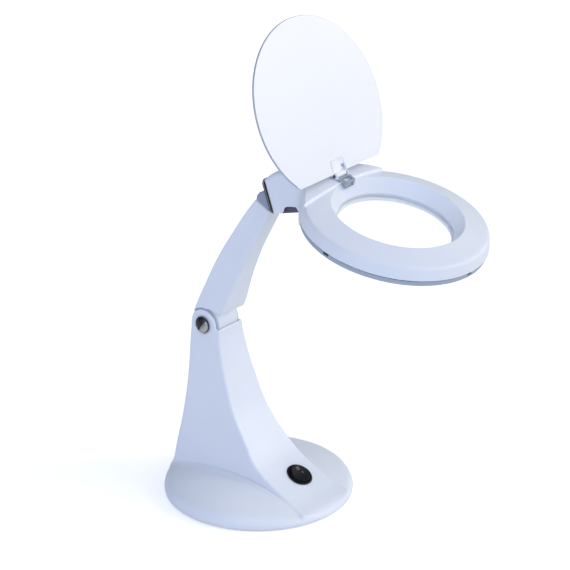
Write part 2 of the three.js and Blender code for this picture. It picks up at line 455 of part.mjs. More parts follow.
// ------------------------------------------------------------------ assembly
const lamp = new THREE.Group();
const mat = (hex, roughness, metalness = 0, extra = {}) => new THREE.MeshStandardMaterial({ color: hex, roughness, metalness, ...extra });
const M = {
  shell: mat(0xdde6f3, 0.42), grey: mat(0x9aa2ae, 0.5), dark: mat(0x5b5966, 0.5), black: mat(0x0b0b0d, 0.22),
  rubber: mat(0x24252a, 0.85), steel: mat(0x8f9095, 0.32, 1), darkSteel: mat(0x4c4a4b, 0.28, 1), iron: mat(0x4a4a4c, 0.7, 0.7),
  glass: mat(0xe8f4f0, 0.05, 0, { transparent: true, opacity: 0.35 }), lid: mat(0xf3f3fa, 0.25, 0, { transparent: true, opacity: 0.85 }),
  lamp: mat(0xfbfbf6, 0.3), board: mat(0x2f6b45, 0.6), white: mat(0xeef1f5, 0.45) };
const head = new THREE.Group();
head.position.set(...HEAD_C);
head.rotation.x = HEAD_TILT;
lamp.add(head);
function add(parent, name, part, material, place) {
  const g = part.attributes ? part : geometry(part);
  if (part.attributes) g.computeVertexNormals();
  const mesh = new THREE.Mesh(g, material);
  mesh.name = name;
  if (place) mesh.position.set(...place);
  parent.add(mesh);
  return mesh;
}
// base
add(lamp, 'base_shell', shell, M.shell);
add(lamp, 'base_bottom_cover', bottomCover, M.rubber);
add(lamp, 'base_weight', weight, M.iron);
add(lamp, 'anti_slip_pad', pad, M.rubber);
bottomScrewAt.forEach(([x, y], i) => add(lamp, `bottom_screw_${i + 1}`, bottomScrew, M.steel, [x, y, 0]));
add(lamp, 'switch_bezel', bezelG, M.black);
add(lamp, 'switch_body', swBody, M.black);
add(lamp, 'switch_rocker', rockerG, M.black);
add(lamp, 'cable_gland', gland, M.rubber);
add(lamp, 'driver_board', board, M.board);
add(lamp, 'driver_choke', choke, M.iron);
// lower pivot
add(lamp, 'lower_pivot_screw', pivotScrewG, M.darkSteel);
add(lamp, 'lower_pivot_nut', nutG, M.darkSteel);
add(lamp, 'friction_washer_left', ringX(15.6, 3.3, -14.75, -13.85, P1[1], P1[2], 40), M.grey);
add(lamp, 'friction_washer_right', ringX(15.6, 3.3, 13.85, 14.75, P1[1], P1[2], 40), M.grey);
// arm
add(lamp, 'arm_shell', arm, M.shell);
add(lamp, 'arm_knuckle', knuckle, M.dark);
add(lamp, 'upper_pivot_pin', cylX(2.5, -20.4, 20.4, P2[1], P2[2], 20), M.steel);
add(lamp, 'upper_washer_left', ringX(7.4, 2.8, -9.5, -8.6, P2[1], P2[2], 24), M.steel);
add(lamp, 'upper_washer_right', ringX(7.4, 2.8, 8.6, 9.5, P2[1], P2[2], 24), M.steel);
// head
add(head, 'head_housing', housing, M.shell);
add(head, 'head_lower_cover', cover, M.grey);
add(head, 'neck_rim', neckRim, M.dark);
add(head, 'lens', lens, M.glass);
add(head, 'lens_retainer', retainer, M.grey);
add(head, 'lamp_tube', lampTube, M.lamp);
add(head, 'lamp_holder', lampHolder, M.white);
[0, 2 * Math.PI / 3 * 0.85, -2 * Math.PI / 3 * 0.85].forEach((a, i) => add(head, `tube_clip_${i + 1}`, clip(a), M.white));
screwAt.forEach(([x, u], i) => add(head, `head_screw_${i + 1}`, headScrew, M.steel, [x, u, 0]));
add(head, 'hinge_bracket', bracket, M.shell);
add(head, 'lid_hinge_pin', pin, M.steel);
// lid
add(head, 'lid_panel', lid, M.lid);
add(head, 'lid_leaf', leafG, M.white);

export default lamp;
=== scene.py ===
import bpy, bmesh, math
import numpy as np
from mathutils import Vector, Matrix


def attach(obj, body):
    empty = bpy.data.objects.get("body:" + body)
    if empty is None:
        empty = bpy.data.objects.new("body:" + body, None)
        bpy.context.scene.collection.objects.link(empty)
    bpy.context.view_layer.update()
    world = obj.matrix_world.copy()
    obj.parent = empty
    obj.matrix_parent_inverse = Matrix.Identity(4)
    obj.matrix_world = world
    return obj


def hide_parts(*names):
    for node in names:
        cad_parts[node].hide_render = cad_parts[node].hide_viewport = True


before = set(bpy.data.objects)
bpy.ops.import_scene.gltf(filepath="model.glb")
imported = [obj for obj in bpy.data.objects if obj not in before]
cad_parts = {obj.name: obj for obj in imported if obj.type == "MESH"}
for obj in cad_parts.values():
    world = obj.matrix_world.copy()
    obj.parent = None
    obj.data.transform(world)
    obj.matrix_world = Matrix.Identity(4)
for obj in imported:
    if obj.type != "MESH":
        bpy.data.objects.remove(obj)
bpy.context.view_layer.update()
MM = 0.001

# --------------------------------------------------------------------------
# camera, at the photograph's angle
# --------------------------------------------------------------------------
AZ, EL = math.radians(-51.0779), math.radians(23.1683)
back = Vector((math.sin(AZ) * math.cos(EL), -math.cos(AZ) * math.cos(EL), math.sin(EL)))
right = Vector((math.cos(AZ), math.sin(AZ), 0))
up = back.cross(right)
cam_data = bpy.data.cameras.new("camera")
cam = bpy.data.objects.new("camera", cam_data)
bpy.context.scene.collection.objects.link(cam)
cam_data.sensor_width = 36
cam_data.lens = 3013.017 / 570 * 36
cam_data.clip_start, cam_data.clip_end = 0.1, 50
cam.matrix_world = Matrix((
    (right.x, up.x, back.x, -1.978467),
    (right.y, up.y, back.y, -1.629693),
    (right.z, up.z, back.z, 1.307909),
    (0, 0, 0, 1)))
bpy.context.scene.camera = cam

# --------------------------------------------------------------------------
# signed-distance modelling tools (millimetres)
# --------------------------------------------------------------------------
def smin(a, b, k):
    h = np.clip(0.5 + 0.5 * (b - a) / k, 0, 1)
    return b * (1 - h) + a * h - k * h * (1 - h)

def smax(a, b, k):
    return -smin(-a, -b, k)

def resample(pts, step=1.0, sigma=0.0):
    """Points along a polyline at an even step, optionally smoothed along its length; the ends stay."""
    p = np.array(pts, float)
    s = np.concatenate([[0], np.cumsum(np.linalg.norm(np.diff(p[:, -2:], axis=0), axis=1))])
    n = max(8, int(round(s[-1] / step)) + 1)
    t = np.linspace(0, s[-1], n)
    q = np.stack([np.interp(t, s, p[:, k]) for k in range(p.shape[1])], 1)
    if sigma > 0:
        w = sigma / (s[-1] / (n - 1))
        r = int(3 * w) + 1
        k = np.exp(-0.5 * (np.arange(-r, r + 1) / w) ** 2); k /= k.sum()
        head = 2 * q[0] - q[1:r + 1][::-1]
        tail = 2 * q[-1] - q[-r - 1:-1][::-1]
        e = np.concatenate([head, q, tail])
        q = np.stack([np.convolve(e[:, c], k, "valid") for c in range(q.shape[1])], 1)
    return q

class Field2:
    """Signed distance to a polygon in a plane, tabulated and read by interpolation."""
    def __init__(self, poly, h=0.4, pad=14, blur=0.0):
        p = np.array(poly, float)
        self.lo = p.min(0) - pad
        n = np.ceil((p.max(0) + pad - self.lo) / h).astype(int) + 1
        self.h = h
        X, Y = np.meshgrid(self.lo[0] + h * np.arange(n[0]), self.lo[1] + h * np.arange(n[1]), indexing="ij")
        d = np.full(X.shape, 1e9); s = np.ones(X.shape)
        m = len(p)
        for i in range(m):
            a, b = p[i], p[i - 1]
            ex, ey = b - a
            wx, wy = X - a[0], Y - a[1]
            t = np.clip((wx * ex + wy * ey) / (ex * ex + ey * ey + 1e-12), 0, 1)
            d = np.minimum(d, (wx - ex * t) ** 2 + (wy - ey * t) ** 2)
            c1, c2, c3 = Y >= a[1], Y < b[1], ex * wy > ey * wx
            s = np.where((c1 & c2 & c3) | (~c1 & ~c2 & ~c3), -s, s)
        d = s * np.sqrt(d)
        if blur > 0:
            w = blur / h
            r = int(3 * w) + 1
            k = np.exp(-0.5 * (np.arange(-r, r + 1) / w) ** 2); k /= k.sum()
            d = np.apply_along_axis(lambda v: np.convolve(np.pad(v, r, "edge"), k, "valid"), 0, d)
            d = np.apply_along_axis(lambda v: np.convolve(np.pad(v, r, "edge"), k, "valid"), 1, d)
        self.d = d
    def __call__(self, x, y):
        fx = np.clip((x - self.lo[0]) / self.h, 0, self.d.shape[0] - 1.001)
        fy = np.clip((y - self.lo[1]) / self.h, 0, self.d.shape[1] - 1.001)
        i, j = fx.astype(int), fy.astype(int)
        u, v = fx - i, fy - j
        D = self.d
        val = (D[i, j] * (1 - u) * (1 - v) + D[i + 1, j] * u * (1 - v) + D[i, j + 1] * (1 - u) * v + D[i + 1, j + 1] * u * v)
        ox = x - np.clip(x, self.lo[0], self.lo[0] + self.h * (D.shape[0] - 1))
        oy = y - np.clip(y, self.lo[1], self.lo[1] + self.h * (D.shape[1] - 1))
        return val + np.hypot(ox, oy)

def sdf_mesh(name, f, lo, hi, h, B=6, passes=2, lip=1.5):
    """Closed quad mesh of the surface f = 0, with its points moved exactly onto it."""
    lo = np.array(lo, float) - 1.5 * h
    hi = np.array(hi, float) + 1.5 * h
    n = (np.ceil((hi - lo) / h / B).astype(int) * B) + 1
    # coarse pass finds the blocks near the surface
    cn = (n - 1) // B
    ax = [lo[k] + h * B * (np.arange(cn[k]) + 0.5) for k in range(3)]
    C = np.stack(np.meshgrid(*ax, indexing="ij"), -1).reshape(-1, 3)
    fc = np.concatenate([f(C[i:i + 400000]) for i in range(0, len(C), 400000)]).reshape(cn)
    near = np.abs(fc) < h * B * 0.87 * lip + h
    V = np.where(fc < 0, -1e3, 1e3).astype(np.float32)
    V = np.repeat(np.repeat(np.repeat(V, B, 0), B, 1), B, 2)
    V = np.pad(V, ((0, 1),) * 3, "edge")
    M = np.repeat(np.repeat(np.repeat(near, B, 0), B, 1), B, 2)
    Mp = np.pad(M, ((0, 1),) * 3, "constant")
    for k in range(3):
        Mp = Mp | np.roll(Mp, 1, k)
    idx = np.argwhere(Mp)
    for i in range(0, len(idx), 600000):
        q = idx[i:i + 600000]
        V[q[:, 0], q[:, 1], q[:, 2]] = f(lo + h * q)
    V[V == 0] = 1e-6
    sgn = V < 0
    cnt = np.zeros(tuple(n - 1), np.int8)
    for dx in (0, 1):
        for dy in (0, 1):
            for dz in (0, 1):
                cnt += sgn[dx:n[0] - 1 + dx, dy:n[1] - 1 + dy, dz:n[2] - 1 + dz]
    act = np.argwhere((cnt > 0) & (cnt < 8))
    ids = np.full(tuple(n - 1), -1, np.int32)
    ids[act[:, 0], act[:, 1], act[:, 2]] = np.arange(len(act))
    corners = [(dx, dy, dz) for dx in (0, 1) for dy in (0, 1) for dz in (0, 1)]
    cv = {c: V[act[:, 0] + c[0], act[:, 1] + c[1], act[:, 2] + c[2]].astype(float) for c in corners}
    acc = np.zeros((len(act), 3)); w = np.zeros(len(act))
    for c in corners:
        for k in range(3):
            if c[k]:
                continue
            e = list(c); e[k] = 1; e = tuple(e)
            a, b = cv[c], cv[e]
            m = (a < 0) != (b < 0)
            t = np.where(m, a / np.where(m, a - b, 1), 0)
            pnt = np.tile(np.array(c, float), (len(act), 1)); pnt[:, k] += t
            acc += pnt * m[:, None]; w += m
    P = lo + h * (act + acc / w[:, None])
    faces = []
    for k in range(3):
        a, b = (k + 1) % 3, (k + 2) % 3
        s0 = np.take(sgn, range(0, n[k] - 1), k); s1 = np.take(sgn, range(1, n[k]), k)
        e = np.argwhere(s0 != s1)
        e = e[(e[:, a] > 0) & (e[:, b] > 0) & (e[:, a] < n[a] - 1) & (e[:, b] < n[b] - 1)]
        flip = s0[e[:, 0], e[:, 1], e[:, 2]]
        q = []
        for oa, ob in ((-1, -1), (0, -1), (0, 0), (-1, 0)):
            c = e.copy(); c[:, a] += oa; c[:, b] += ob
            q.append(ids[c[:, 0], c[:, 1], c[:, 2]])
        q = np.stack(q, 1)
        q[~flip] = q[~flip][:, ::-1]
        faces.append(q)
    F = np.concatenate(faces)

    def project(P, times=2):
        for _ in range(times):
            v = f(P); eps = 0.05
            g = np.stack([(f(P + np.eye(3)[k] * eps) - f(P - np.eye(3)[k] * eps)) / (2 * eps) for k in range(3)], 1)
            gg = np.maximum((g * g).sum(1), 0.15)
            st = (v / gg)[:, None] * g
            ln = np.linalg.norm(st, axis=1)
            st *= np.minimum(1, 0.6 * h / np.maximum(ln, 1e-9))[:, None]
            P = P - st
        return P
    edges = np.concatenate([F[:, [0, 1]], F[:, [1, 2]], F[:, [2, 3]], F[:, [3, 0]]])
    deg = np.bincount(edges[:, 0], minlength=len(P)).astype(float)
    P = project(P, 1)
    for _ in range(passes):
        S = np.stack([np.bincount(edges[:, 0], P[edges[:, 1], k], minlength=len(P)) for k in range(3)], 1) / deg[:, None]
        P = project(P + 0.5 * (S - P), 1)
    me = bpy.data.meshes.new(name)
    me.vertices.add(len(P)); me.vertices.foreach_set("co", (P * MM).astype(np.float32).ravel())
    me.loops.add(F.size); me.loops.foreach_set("vertex_index", F.ravel().astype(np.int32))
    me.polygons.add(len(F)); me.polygons.foreach_set("loop_start", np.arange(0, F.size, 4, dtype=np.int32))
    me.polygons.foreach_set("loop_total", np.full(len(F), 4, np.int32))
    me.update(calc_edges=True)
    me.validate()
    me.polygons.foreach_set("use_smooth", np.ones(len(me.polygons), bool))
    return me

def second(me, mat, pick):
    """Give the faces picked by their place (head frame, millimetres) a second material."""
    me.materials.append(mat)
    n = len(me.polygons)
    c = np.zeros(n * 3, np.float32); me.polygons.foreach_get("center", c)
    p = c.reshape(-1, 3).astype(float) / MM
    x, u, v = to_head(p)
    me.polygons.foreach_set("material_index", np.where(pick(x, u, v), 1, 0).astype(np.int32))
    me.update()

def put(name, me, body, mat, *nodes, slot=None):
    o = bpy.data.objects.new(name, me)
    bpy.context.scene.collection.objects.link(o)
    me.materials.clear(); me.materials.append(mat)
    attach(o, body)
    if nodes:
        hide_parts(*nodes)
    return o

# head frame: x, u (rearward), v (up) <-> world
HC = np.array([0, -160.27, 324.32]); TAU = math.radians(12.91)
CT, ST = math.cos(TAU), math.sin(TAU)
def to_head(P):
    y, z = P[:, 1] - HC[1], P[:, 2] - HC[2]
    return P[:, 0], y * CT + z * ST, -y * ST + z * CT
def head_to_world(me):
    co = np.zeros(len(me.vertices) * 3, np.float32); me.vertices.foreach_get("co", co)
    p = co.reshape(-1, 3).astype(float) / MM
    q = np.stack([p[:, 0], HC[1] + CT * p[:, 1] - ST * p[:, 2], HC[2] + ST * p[:, 1] + CT * p[:, 2]], 1)
    me.vertices.foreach_set("co", (q * MM).astype(np.float32).ravel()); me.update()
    return me
def transform(me, matrix):
    me.transform(matrix); me.update(); return me

def lathe(name, prof, seg=192, closed=True, smooth_angle=35, axis="Z"):
    """Surface of revolution about Z from a profile of (radius, height) in millimetres."""
    bm = bmesh.new()
    rings = []
    for r, z in prof:
        if r < 1e-6:
            rings.append([bm.verts.new((0, 0, z * MM))])
        else:
            rings.append([bm.verts.new((r * math.cos(2 * math.pi * i / seg) * MM, r * math.sin(2 * math.pi * i / seg) * MM, z * MM)) for i in range(seg)])
    m = len(rings)
    for i in range(m if closed else m - 1):
        A, Bq = rings[i], rings[(i + 1) % m]
        if len(A) == 1 and len(Bq) == 1:
            continue
        for j in range(seg):
            k = (j + 1) % seg
            if len(A) == 1:
                bm.faces.new((A[0], Bq[k], Bq[j]))
            elif len(Bq) == 1:
                bm.faces.new((A[j], A[k], Bq[0]))
            else:
                bm.faces.new((A[j], A[k], Bq[k], Bq[j]))
    bmesh.ops.recalc_face_normals(bm, faces=bm.faces)
    me = bpy.data.meshes.new(name); bm.to_mesh(me); bm.free()
    shade(me, smooth_angle)
    return me

def shade(me, angle=35):
    me.polygons.foreach_set("use_smooth", np.ones(len(me.polygons), bool))
    bm = bmesh.new(); bm.from_mesh(me)
    for e in bm.edges:
        e.smooth = len(e.link_faces) != 2 or e.calc_face_angle(0) < math.radians(angle)
    bm.to_mesh(me); bm.free()

def fillet(poly, r, n=5):
    """Polygon with every corner rounded to about r (r may be a list)."""
    out = []
    m = len(poly)
    for i in range(m):
        p = np.array(poly[i], float); a = np.array(poly[i - 1], float); b = np.array(poly[(i + 1) % m], float)
        rr = r[i] if isinstance(r, (list, tuple)) else r
        u, v = a - p, b - p
        lu, lv = np.linalg.norm(u), np.linalg.norm(v)
        d = min(rr, 0.45 * lu, 0.45 * lv)
        if d < 1e-4:
            out.append(tuple(p)); continue
        s, e = p + u / lu * d, p + v / lv * d
        for k in range(n + 1):
            t = k / n
            out.append(tuple((1 - t) ** 2 * s + 2 * t * (1 - t) * p + t * t * e))
    return out

# --------------------------------------------------------------------------
# materials
# --------------------------------------------------------------------------
def new_mat(name):
    m = bpy.data.materials.new(name); m.use_nodes = True
    nt = m.node_tree
    return m, nt, nt.nodes["Principled BSDF"]

def plastic(name, c1, c2, rough=0.42, rvar=0.06, grain=900.0, bump=0.05, mottle=14.0, coat=0.0, spec=0.5, sss=0.0, grain2=None, edge_lighten=0.0):
    """Moulded plastic: two near tones in a soft mottle, uneven gloss and a fine spark-eroded grain."""
    m, nt, b = new_mat(name)
    N, L = nt.nodes, nt.links
    co = N.new("ShaderNodeTexCoord")
    n1 = N.new("ShaderNodeTexNoise"); n1.inputs["Scale"].default_value = mottle; n1.inputs["Detail"].default_value = 3
    L.new(co.outputs["Object"], n1.inputs["Vector"])
    mix = N.new("ShaderNodeMix"); mix.data_type = "RGBA"
    mix.inputs["A"].default_value = (*c1, 1); mix.inputs["B"].default_value = (*c2, 1)
    rmp = N.new("ShaderNodeMapRange"); rmp.inputs["From Min"].default_value = 0.35; rmp.inputs["From Max"].default_value = 0.65
    L.new(n1.outputs["Fac"], rmp.inputs["Value"]); L.new(rmp.outputs["Result"], mix.inputs["Factor"])
    colour = mix.outputs["Result"]
    # convex edges, picked by pointiness, are mixed towards a lighter tone of the first colour
    if edge_lighten > 0:
        geo = N.new("ShaderNodeNewGeometry")
        w = N.new("ShaderNodeMapRange"); w.inputs["From Min"].default_value = 0.53; w.inputs["From Max"].default_value = 0.62
        w.inputs["To Max"].default_value = edge_lighten
        L.new(geo.outputs["Pointiness"], w.inputs["Value"])
        m2 = N.new("ShaderNodeMix"); m2.data_type = "RGBA"
        m2.inputs["B"].default_value = (*[min(1, c * 1.25 + 0.03) for c in c1], 1)
        L.new(w.outputs["Result"], m2.inputs["Factor"]); L.new(colour, m2.inputs["A"])
        colour = m2.outputs["Result"]
    L.new(colour, b.inputs["Base Color"])
    n2 = N.new("ShaderNodeTexNoise"); n2.inputs["Scale"].default_value = 55; n2.inputs["Detail"].default_value = 4
    L.new(co.outputs["Object"], n2.inputs["Vector"])
    rr = N.new("ShaderNodeMapRange"); rr.inputs["To Min"].default_value = rough - rvar; rr.inputs["To Max"].default_value = rough + rvar
    rr.inputs["From Min"].default_value = 0.3; rr.inputs["From Max"].default_value = 0.7
    L.new(n2.outputs["Fac"], rr.inputs["Value"]); L.new(rr.outputs["Result"], b.inputs["Roughness"])
    n3 = N.new("ShaderNodeTexNoise"); n3.inputs["Scale"].default_value = grain; n3.inputs["Detail"].default_value = 2
    L.new(co.outputs["Object"], n3.inputs["Vector"])
    bp = N.new("ShaderNodeBump"); bp.inputs["Strength"].default_value = bump; bp.inputs["Distance"].default_value = 0.0006
    L.new(n3.outputs["Fac"], bp.inputs["Height"])
    L.new(bp.outputs["Normal"], b.inputs["Normal"])
    b.inputs["Specular IOR Level"].default_value = spec
    if coat:
        b.inputs["Coat Weight"].default_value = coat; b.inputs["Coat Roughness"].default_value = 0.12
    if sss:
        b.inputs["Subsurface Weight"].default_value = sss
        b.inputs["Subsurface Radius"].default_value = (0.004, 0.004, 0.005)
    return m

def metal(name, c1, c2, rough, rvar=0.08, scratch=220.0, bump=0.08, aniso=0.0):
    m, nt, b = new_mat(name)
    N, L = nt.nodes, nt.links
    co = N.new("ShaderNodeTexCoord")
    n1 = N.new("ShaderNodeTexNoise"); n1.inputs["Scale"].default_value = 90; n1.inputs["Detail"].default_value = 5
    L.new(co.outputs["Object"], n1.inputs["Vector"])
    mix = N.new("ShaderNodeMix"); mix.data_type = "RGBA"
    mix.inputs["A"].default_value = (*c1, 1); mix.inputs["B"].default_value = (*c2, 1)
    L.new(n1.outputs["Fac"], mix.inputs["Factor"]); L.new(mix.outputs["Result"], b.inputs["Base Color"])
    b.inputs["Metallic"].default_value = 1
    rr = N.new("ShaderNodeMapRange"); rr.inputs["To Min"].default_value = rough - rvar; rr.inputs["To Max"].default_value = rough + rvar
    L.new(n1.outputs["Fac"], rr.inputs["Value"]); L.new(rr.outputs["Result"], b.inputs["Roughness"])
    mp = N.new("ShaderNodeMapping"); mp.inputs["Scale"].default_value = (1, 12, 12)
    L.new(co.outputs["Object"], mp.inputs["Vector"])
    n3 = N.new("ShaderNodeTexNoise"); n3.inputs["Scale"].default_value = scratch; n3.inputs["Detail"].default_value = 3
    L.new(mp.outputs["Vector"], n3.inputs["Vector"])
    bp = N.new("ShaderNodeBump"); bp.inputs["Strength"].default_value = bump; bp.inputs["Distance"].default_value = 0.0002
    L.new(n3.outputs["Fac"], bp.inputs["Height"]); L.new(bp.outputs["Normal"], b.inputs["Normal"])
    return m

SHELL = plastic("shell_plastic", (0.795, 0.825, 0.885), (0.775, 0.81, 0.88), rough=0.38, rvar=0.05, grain=1400, bump=0.10, edge_lighten=0.35, spec=0.45)
PALE = plastic("pale_plastic", (0.52, 0.57, 0.64), (0.55, 0.60, 0.66), rough=0.45, bump=0.08)
GREY = plastic("grey_plastic", (0.36, 0.42, 0.50), (0.40, 0.46, 0.54), rough=0.5, bump=0.10, edge_lighten=0.2)
DARK = plastic("dark_plastic", (0.30, 0.32, 0.41), (0.34, 0.36, 0.45), rough=0.45, bump=0.12, edge_lighten=0.15)
# near-black: the neck rim's own colour, also used below as painted shade in the pivot cap's slot and on its outer edge
RIM = plastic("rim_gasket_and_painted_shade", (0.018, 0.018, 0.022), (0.03, 0.03, 0.034), rough=0.35, bump=0.08, edge_lighten=0.2)
RIM_BAND = plastic("rim_band", (0.24, 0.235, 0.26), (0.30, 0.295, 0.32), rough=0.3, bump=0.05)
BLACK = plastic("black_gloss", (0.004, 0.004, 0.0045), (0.007, 0.007, 0.0075), rough=0.3, rvar=0.05, grain=1200, bump=0.03, spec=0.12)
BLACKM = plastic("black_matte", (0.022, 0.022, 0.025), (0.032, 0.032, 0.035), rough=0.6, bump=0.2)
RUBBER = plastic("foam_rubber", (0.030, 0.030, 0.034), (0.045, 0.045, 0.05), rough=0.88, grain=500, bump=0.6, mottle=60)
IRON = plastic("cast_iron", (0.07, 0.07, 0.075), (0.10, 0.095, 0.09), rough=0.7, grain=260, bump=0.6, mottle=50)
WHITE = plastic("white_fitting", (0.80, 0.82, 0.86), (0.84, 0.86, 0.9), rough=0.35, bump=0.06)
BRACKET = plastic("bracket_plastic", (0.80, 0.84, 0.92), (0.76, 0.81, 0.89), rough=0.32, bump=0.06, edge_lighten=0.3)
CLIPMAT = plastic("clip_plastic", (0.30, 0.35, 0.41), (0.34, 0.39, 0.45), rough=0.32, bump=0.06, edge_lighten=0.3)
STEEL = metal("zinc_steel", (0.55, 0.55, 0.57), (0.45, 0.45, 0.47), 0.32)
DSTEEL = metal("dark_chrome", (0.17, 0.165, 0.17), (0.09, 0.088, 0.09), 0.22, rvar=0.06)
CAPMAT, _nt, _b = new_mat("domed_cap_chrome")
_N, _L = _nt.nodes, _nt.links
_co = _N.new("ShaderNodeTexCoord"); _sx = _N.new("ShaderNodeSeparateXYZ"); _L.new(_co.outputs["Object"], _sx.inputs["Vector"])
_no = _N.new("ShaderNodeTexNoise"); _no.inputs["Scale"].default_value = 240; _no.inputs["Detail"].default_value = 4; _L.new(_co.outputs["Object"], _no.inputs["Vector"])
# painted highlight and shade: the base colour runs from dark at the top and rear of the dome to bright towards its
# lower front, standing in for the reflection on the chrome; noise makes the tone uneven
_a = _N.new("ShaderNodeMath"); _a.operation = "ADD"; _L.new(_sx.outputs["Y"], _a.inputs[0]); _L.new(_sx.outputs["Z"], _a.inputs[1])
_m = _N.new("ShaderNodeMapRange"); _m.inputs["From Min"].default_value = 0.2175; _m.inputs["From Max"].default_value = 0.2085
_L.new(_a.outputs["Value"], _m.inputs["Value"])
_q = _N.new("ShaderNodeMath"); _q.operation = "MULTIPLY_ADD"; _q.inputs[1].default_value = 0.5; _q.inputs[2].default_value = -0.25; _L.new(_no.outputs["Fac"], _q.inputs[0])
_w = _N.new("ShaderNodeMath"); _w.operation = "ADD"; _w.use_clamp = True; _L.new(_m.outputs["Result"], _w.inputs[0]); _L.new(_q.outputs["Value"], _w.inputs[1])
_cap_highlight_mix = _N.new("ShaderNodeMix"); _cap_highlight_mix.data_type = "RGBA"; _cap_highlight_mix.inputs["A"].default_value = (0.055, 0.052, 0.055, 1); _cap_highlight_mix.inputs["B"].default_value = (0.55, 0.54, 0.54, 1)
_L.new(_w.outputs["Value"], _cap_highlight_mix.inputs["Factor"]); _L.new(_cap_highlight_mix.outputs["Result"], _b.inputs["Base Color"])
_r = _N.new("ShaderNodeMapRange"); _r.inputs["To Min"].default_value = 0.2; _r.inputs["To Max"].default_value = 0.34; _L.new(_no.outputs["Fac"], _r.inputs["Value"]); _L.new(_r.outputs["Result"], _b.inputs["Roughness"])
_b.inputs["Metallic"].default_value = 1
BOARD = plastic("board_laminate", (0.02, 0.12, 0.05), (0.03, 0.15, 0.07), rough=0.35, bump=0.2, mottle=120)

def lid_material():
    """Milky acrylic: translucent body under a polished skin, with the faintest swirl."""
    m, nt, b = new_mat("milky_lid")
    N, L = nt.nodes, nt.links
    co = N.new("ShaderNodeTexCoord")
    n1 = N.new("ShaderNodeTexNoise"); n1.inputs["Scale"].default_value = 9; n1.inputs["Detail"].default_value = 3
    L.new(co.outputs["Object"], n1.inputs["Vector"])
    mix = N.new("ShaderNodeMix"); mix.data_type = "RGBA"
    mix.inputs["A"].default_value = (0.93, 0.915, 0.945, 1); mix.inputs["B"].default_value = (0.95, 0.935, 0.955, 1)
    L.new(n1.outputs["Fac"], mix.inputs["Factor"]); L.new(mix.outputs["Result"], b.inputs["Base Color"])
    rr = N.new("ShaderNodeMapRange"); rr.inputs["To Min"].default_value = 0.34; rr.inputs["To Max"].default_value = 0.44
    L.new(n1.outputs["Fac"], rr.inputs["Value"]); L.new(rr.outputs["Result"], b.inputs["Roughness"])
    b.inputs["Specular IOR Level"].default_value = 0.35
    b.inputs["Subsurface Weight"].default_value = 0.5
    b.inputs["Subsurface Radius"].default_value = (0.006, 0.006, 0.007)
    n3 = N.new("ShaderNodeTexNoise"); n3.inputs["Scale"].default_value = 400
    L.new(co.outputs["Object"], n3.inputs["Vector"])
    bp = N.new("ShaderNodeBump"); bp.inputs["Strength"].default_value = 0.02; bp.inputs["Distance"].default_value = 0.0003
    L.new(n3.outputs["Fac"], bp.inputs["Height"]); L.new(bp.outputs["Normal"], b.inputs["Normal"])
    return m
LID = lid_material()

# painted shade: a grey copy of the lid's milky colour for its edge faces and a thin band along its top rim, standing in
# for the shaded outline of the edge
def lid_rim_shade_material():
    m = plastic("lid_edge_painted_shade", (0.38, 0.41, 0.47), (0.44, 0.47, 0.53), rough=0.3, bump=0.02)
    return m
LID_EDGE_SHADE = lid_rim_shade_material()

def glass_material():
    m, nt, b = new_mat("lens_glass")
    N, L = nt.nodes, nt.links
    co = N.new("ShaderNodeTexCoord")
    n1 = N.new("ShaderNodeTexNoise"); n1.inputs["Scale"].default_value = 30
    L.new(co.outputs["Object"], n1.inputs["Vector"])
    mix = N.new("ShaderNodeMix"); mix.data_type = "RGBA"
    mix.inputs["A"].default_value = (0.97, 1.0, 0.985, 1); mix.inputs["B"].default_value = (0.96, 0.995, 0.98, 1)
    L.new(n1.outputs["Fac"], mix.inputs["Factor"]); L.new(mix.outputs["Result"], b.inputs["Base Color"])
    rr = N.new("ShaderNodeMapRange"); rr.inputs["To Min"].default_value = 0.0; rr.inputs["To Max"].default_value = 0.02
    L.new(n1.outputs["Fac"], rr.inputs["Value"]); L.new(rr.outputs["Result"], b.inputs["Roughness"])
    b.inputs["Transmission Weight"].default_value = 1.0
    b.inputs["IOR"].default_value = 1.08
    b.inputs["Alpha"].default_value = 0.14
    return m
GLASS = glass_material()

def tube_material():
    m, nt, b = new_mat("lamp_tube_glass")
    N, L = nt.nodes, nt.links
    co = N.new("ShaderNodeTexCoord")
    n1 = N.new("ShaderNodeTexNoise"); n1.inputs["Scale"].default_value = 40; n1.inputs["Detail"].default_value = 4
    L.new(co.outputs["Object"], n1.inputs["Vector"])
    mix = N.new("ShaderNodeMix"); mix.data_type = "RGBA"
    mix.inputs["A"].default_value = (0.86, 0.87, 0.86, 1); mix.inputs["B"].default_value = (0.91, 0.91, 0.9, 1)
    L.new(n1.outputs["Fac"], mix.inputs["Factor"]); L.new(mix.outputs["Result"], b.inputs["Base Color"])
    rr = N.new("ShaderNodeMapRange"); rr.inputs["To Min"].default_value = 0.08; rr.inputs["To Max"].default_value = 0.2
    L.new(n1.outputs["Fac"], rr.inputs["Value"]); L.new(rr.outputs["Result"], b.inputs["Roughness"])
    b.inputs["Coat Weight"].default_value = 0.6
    return m
TUBE = tube_material()

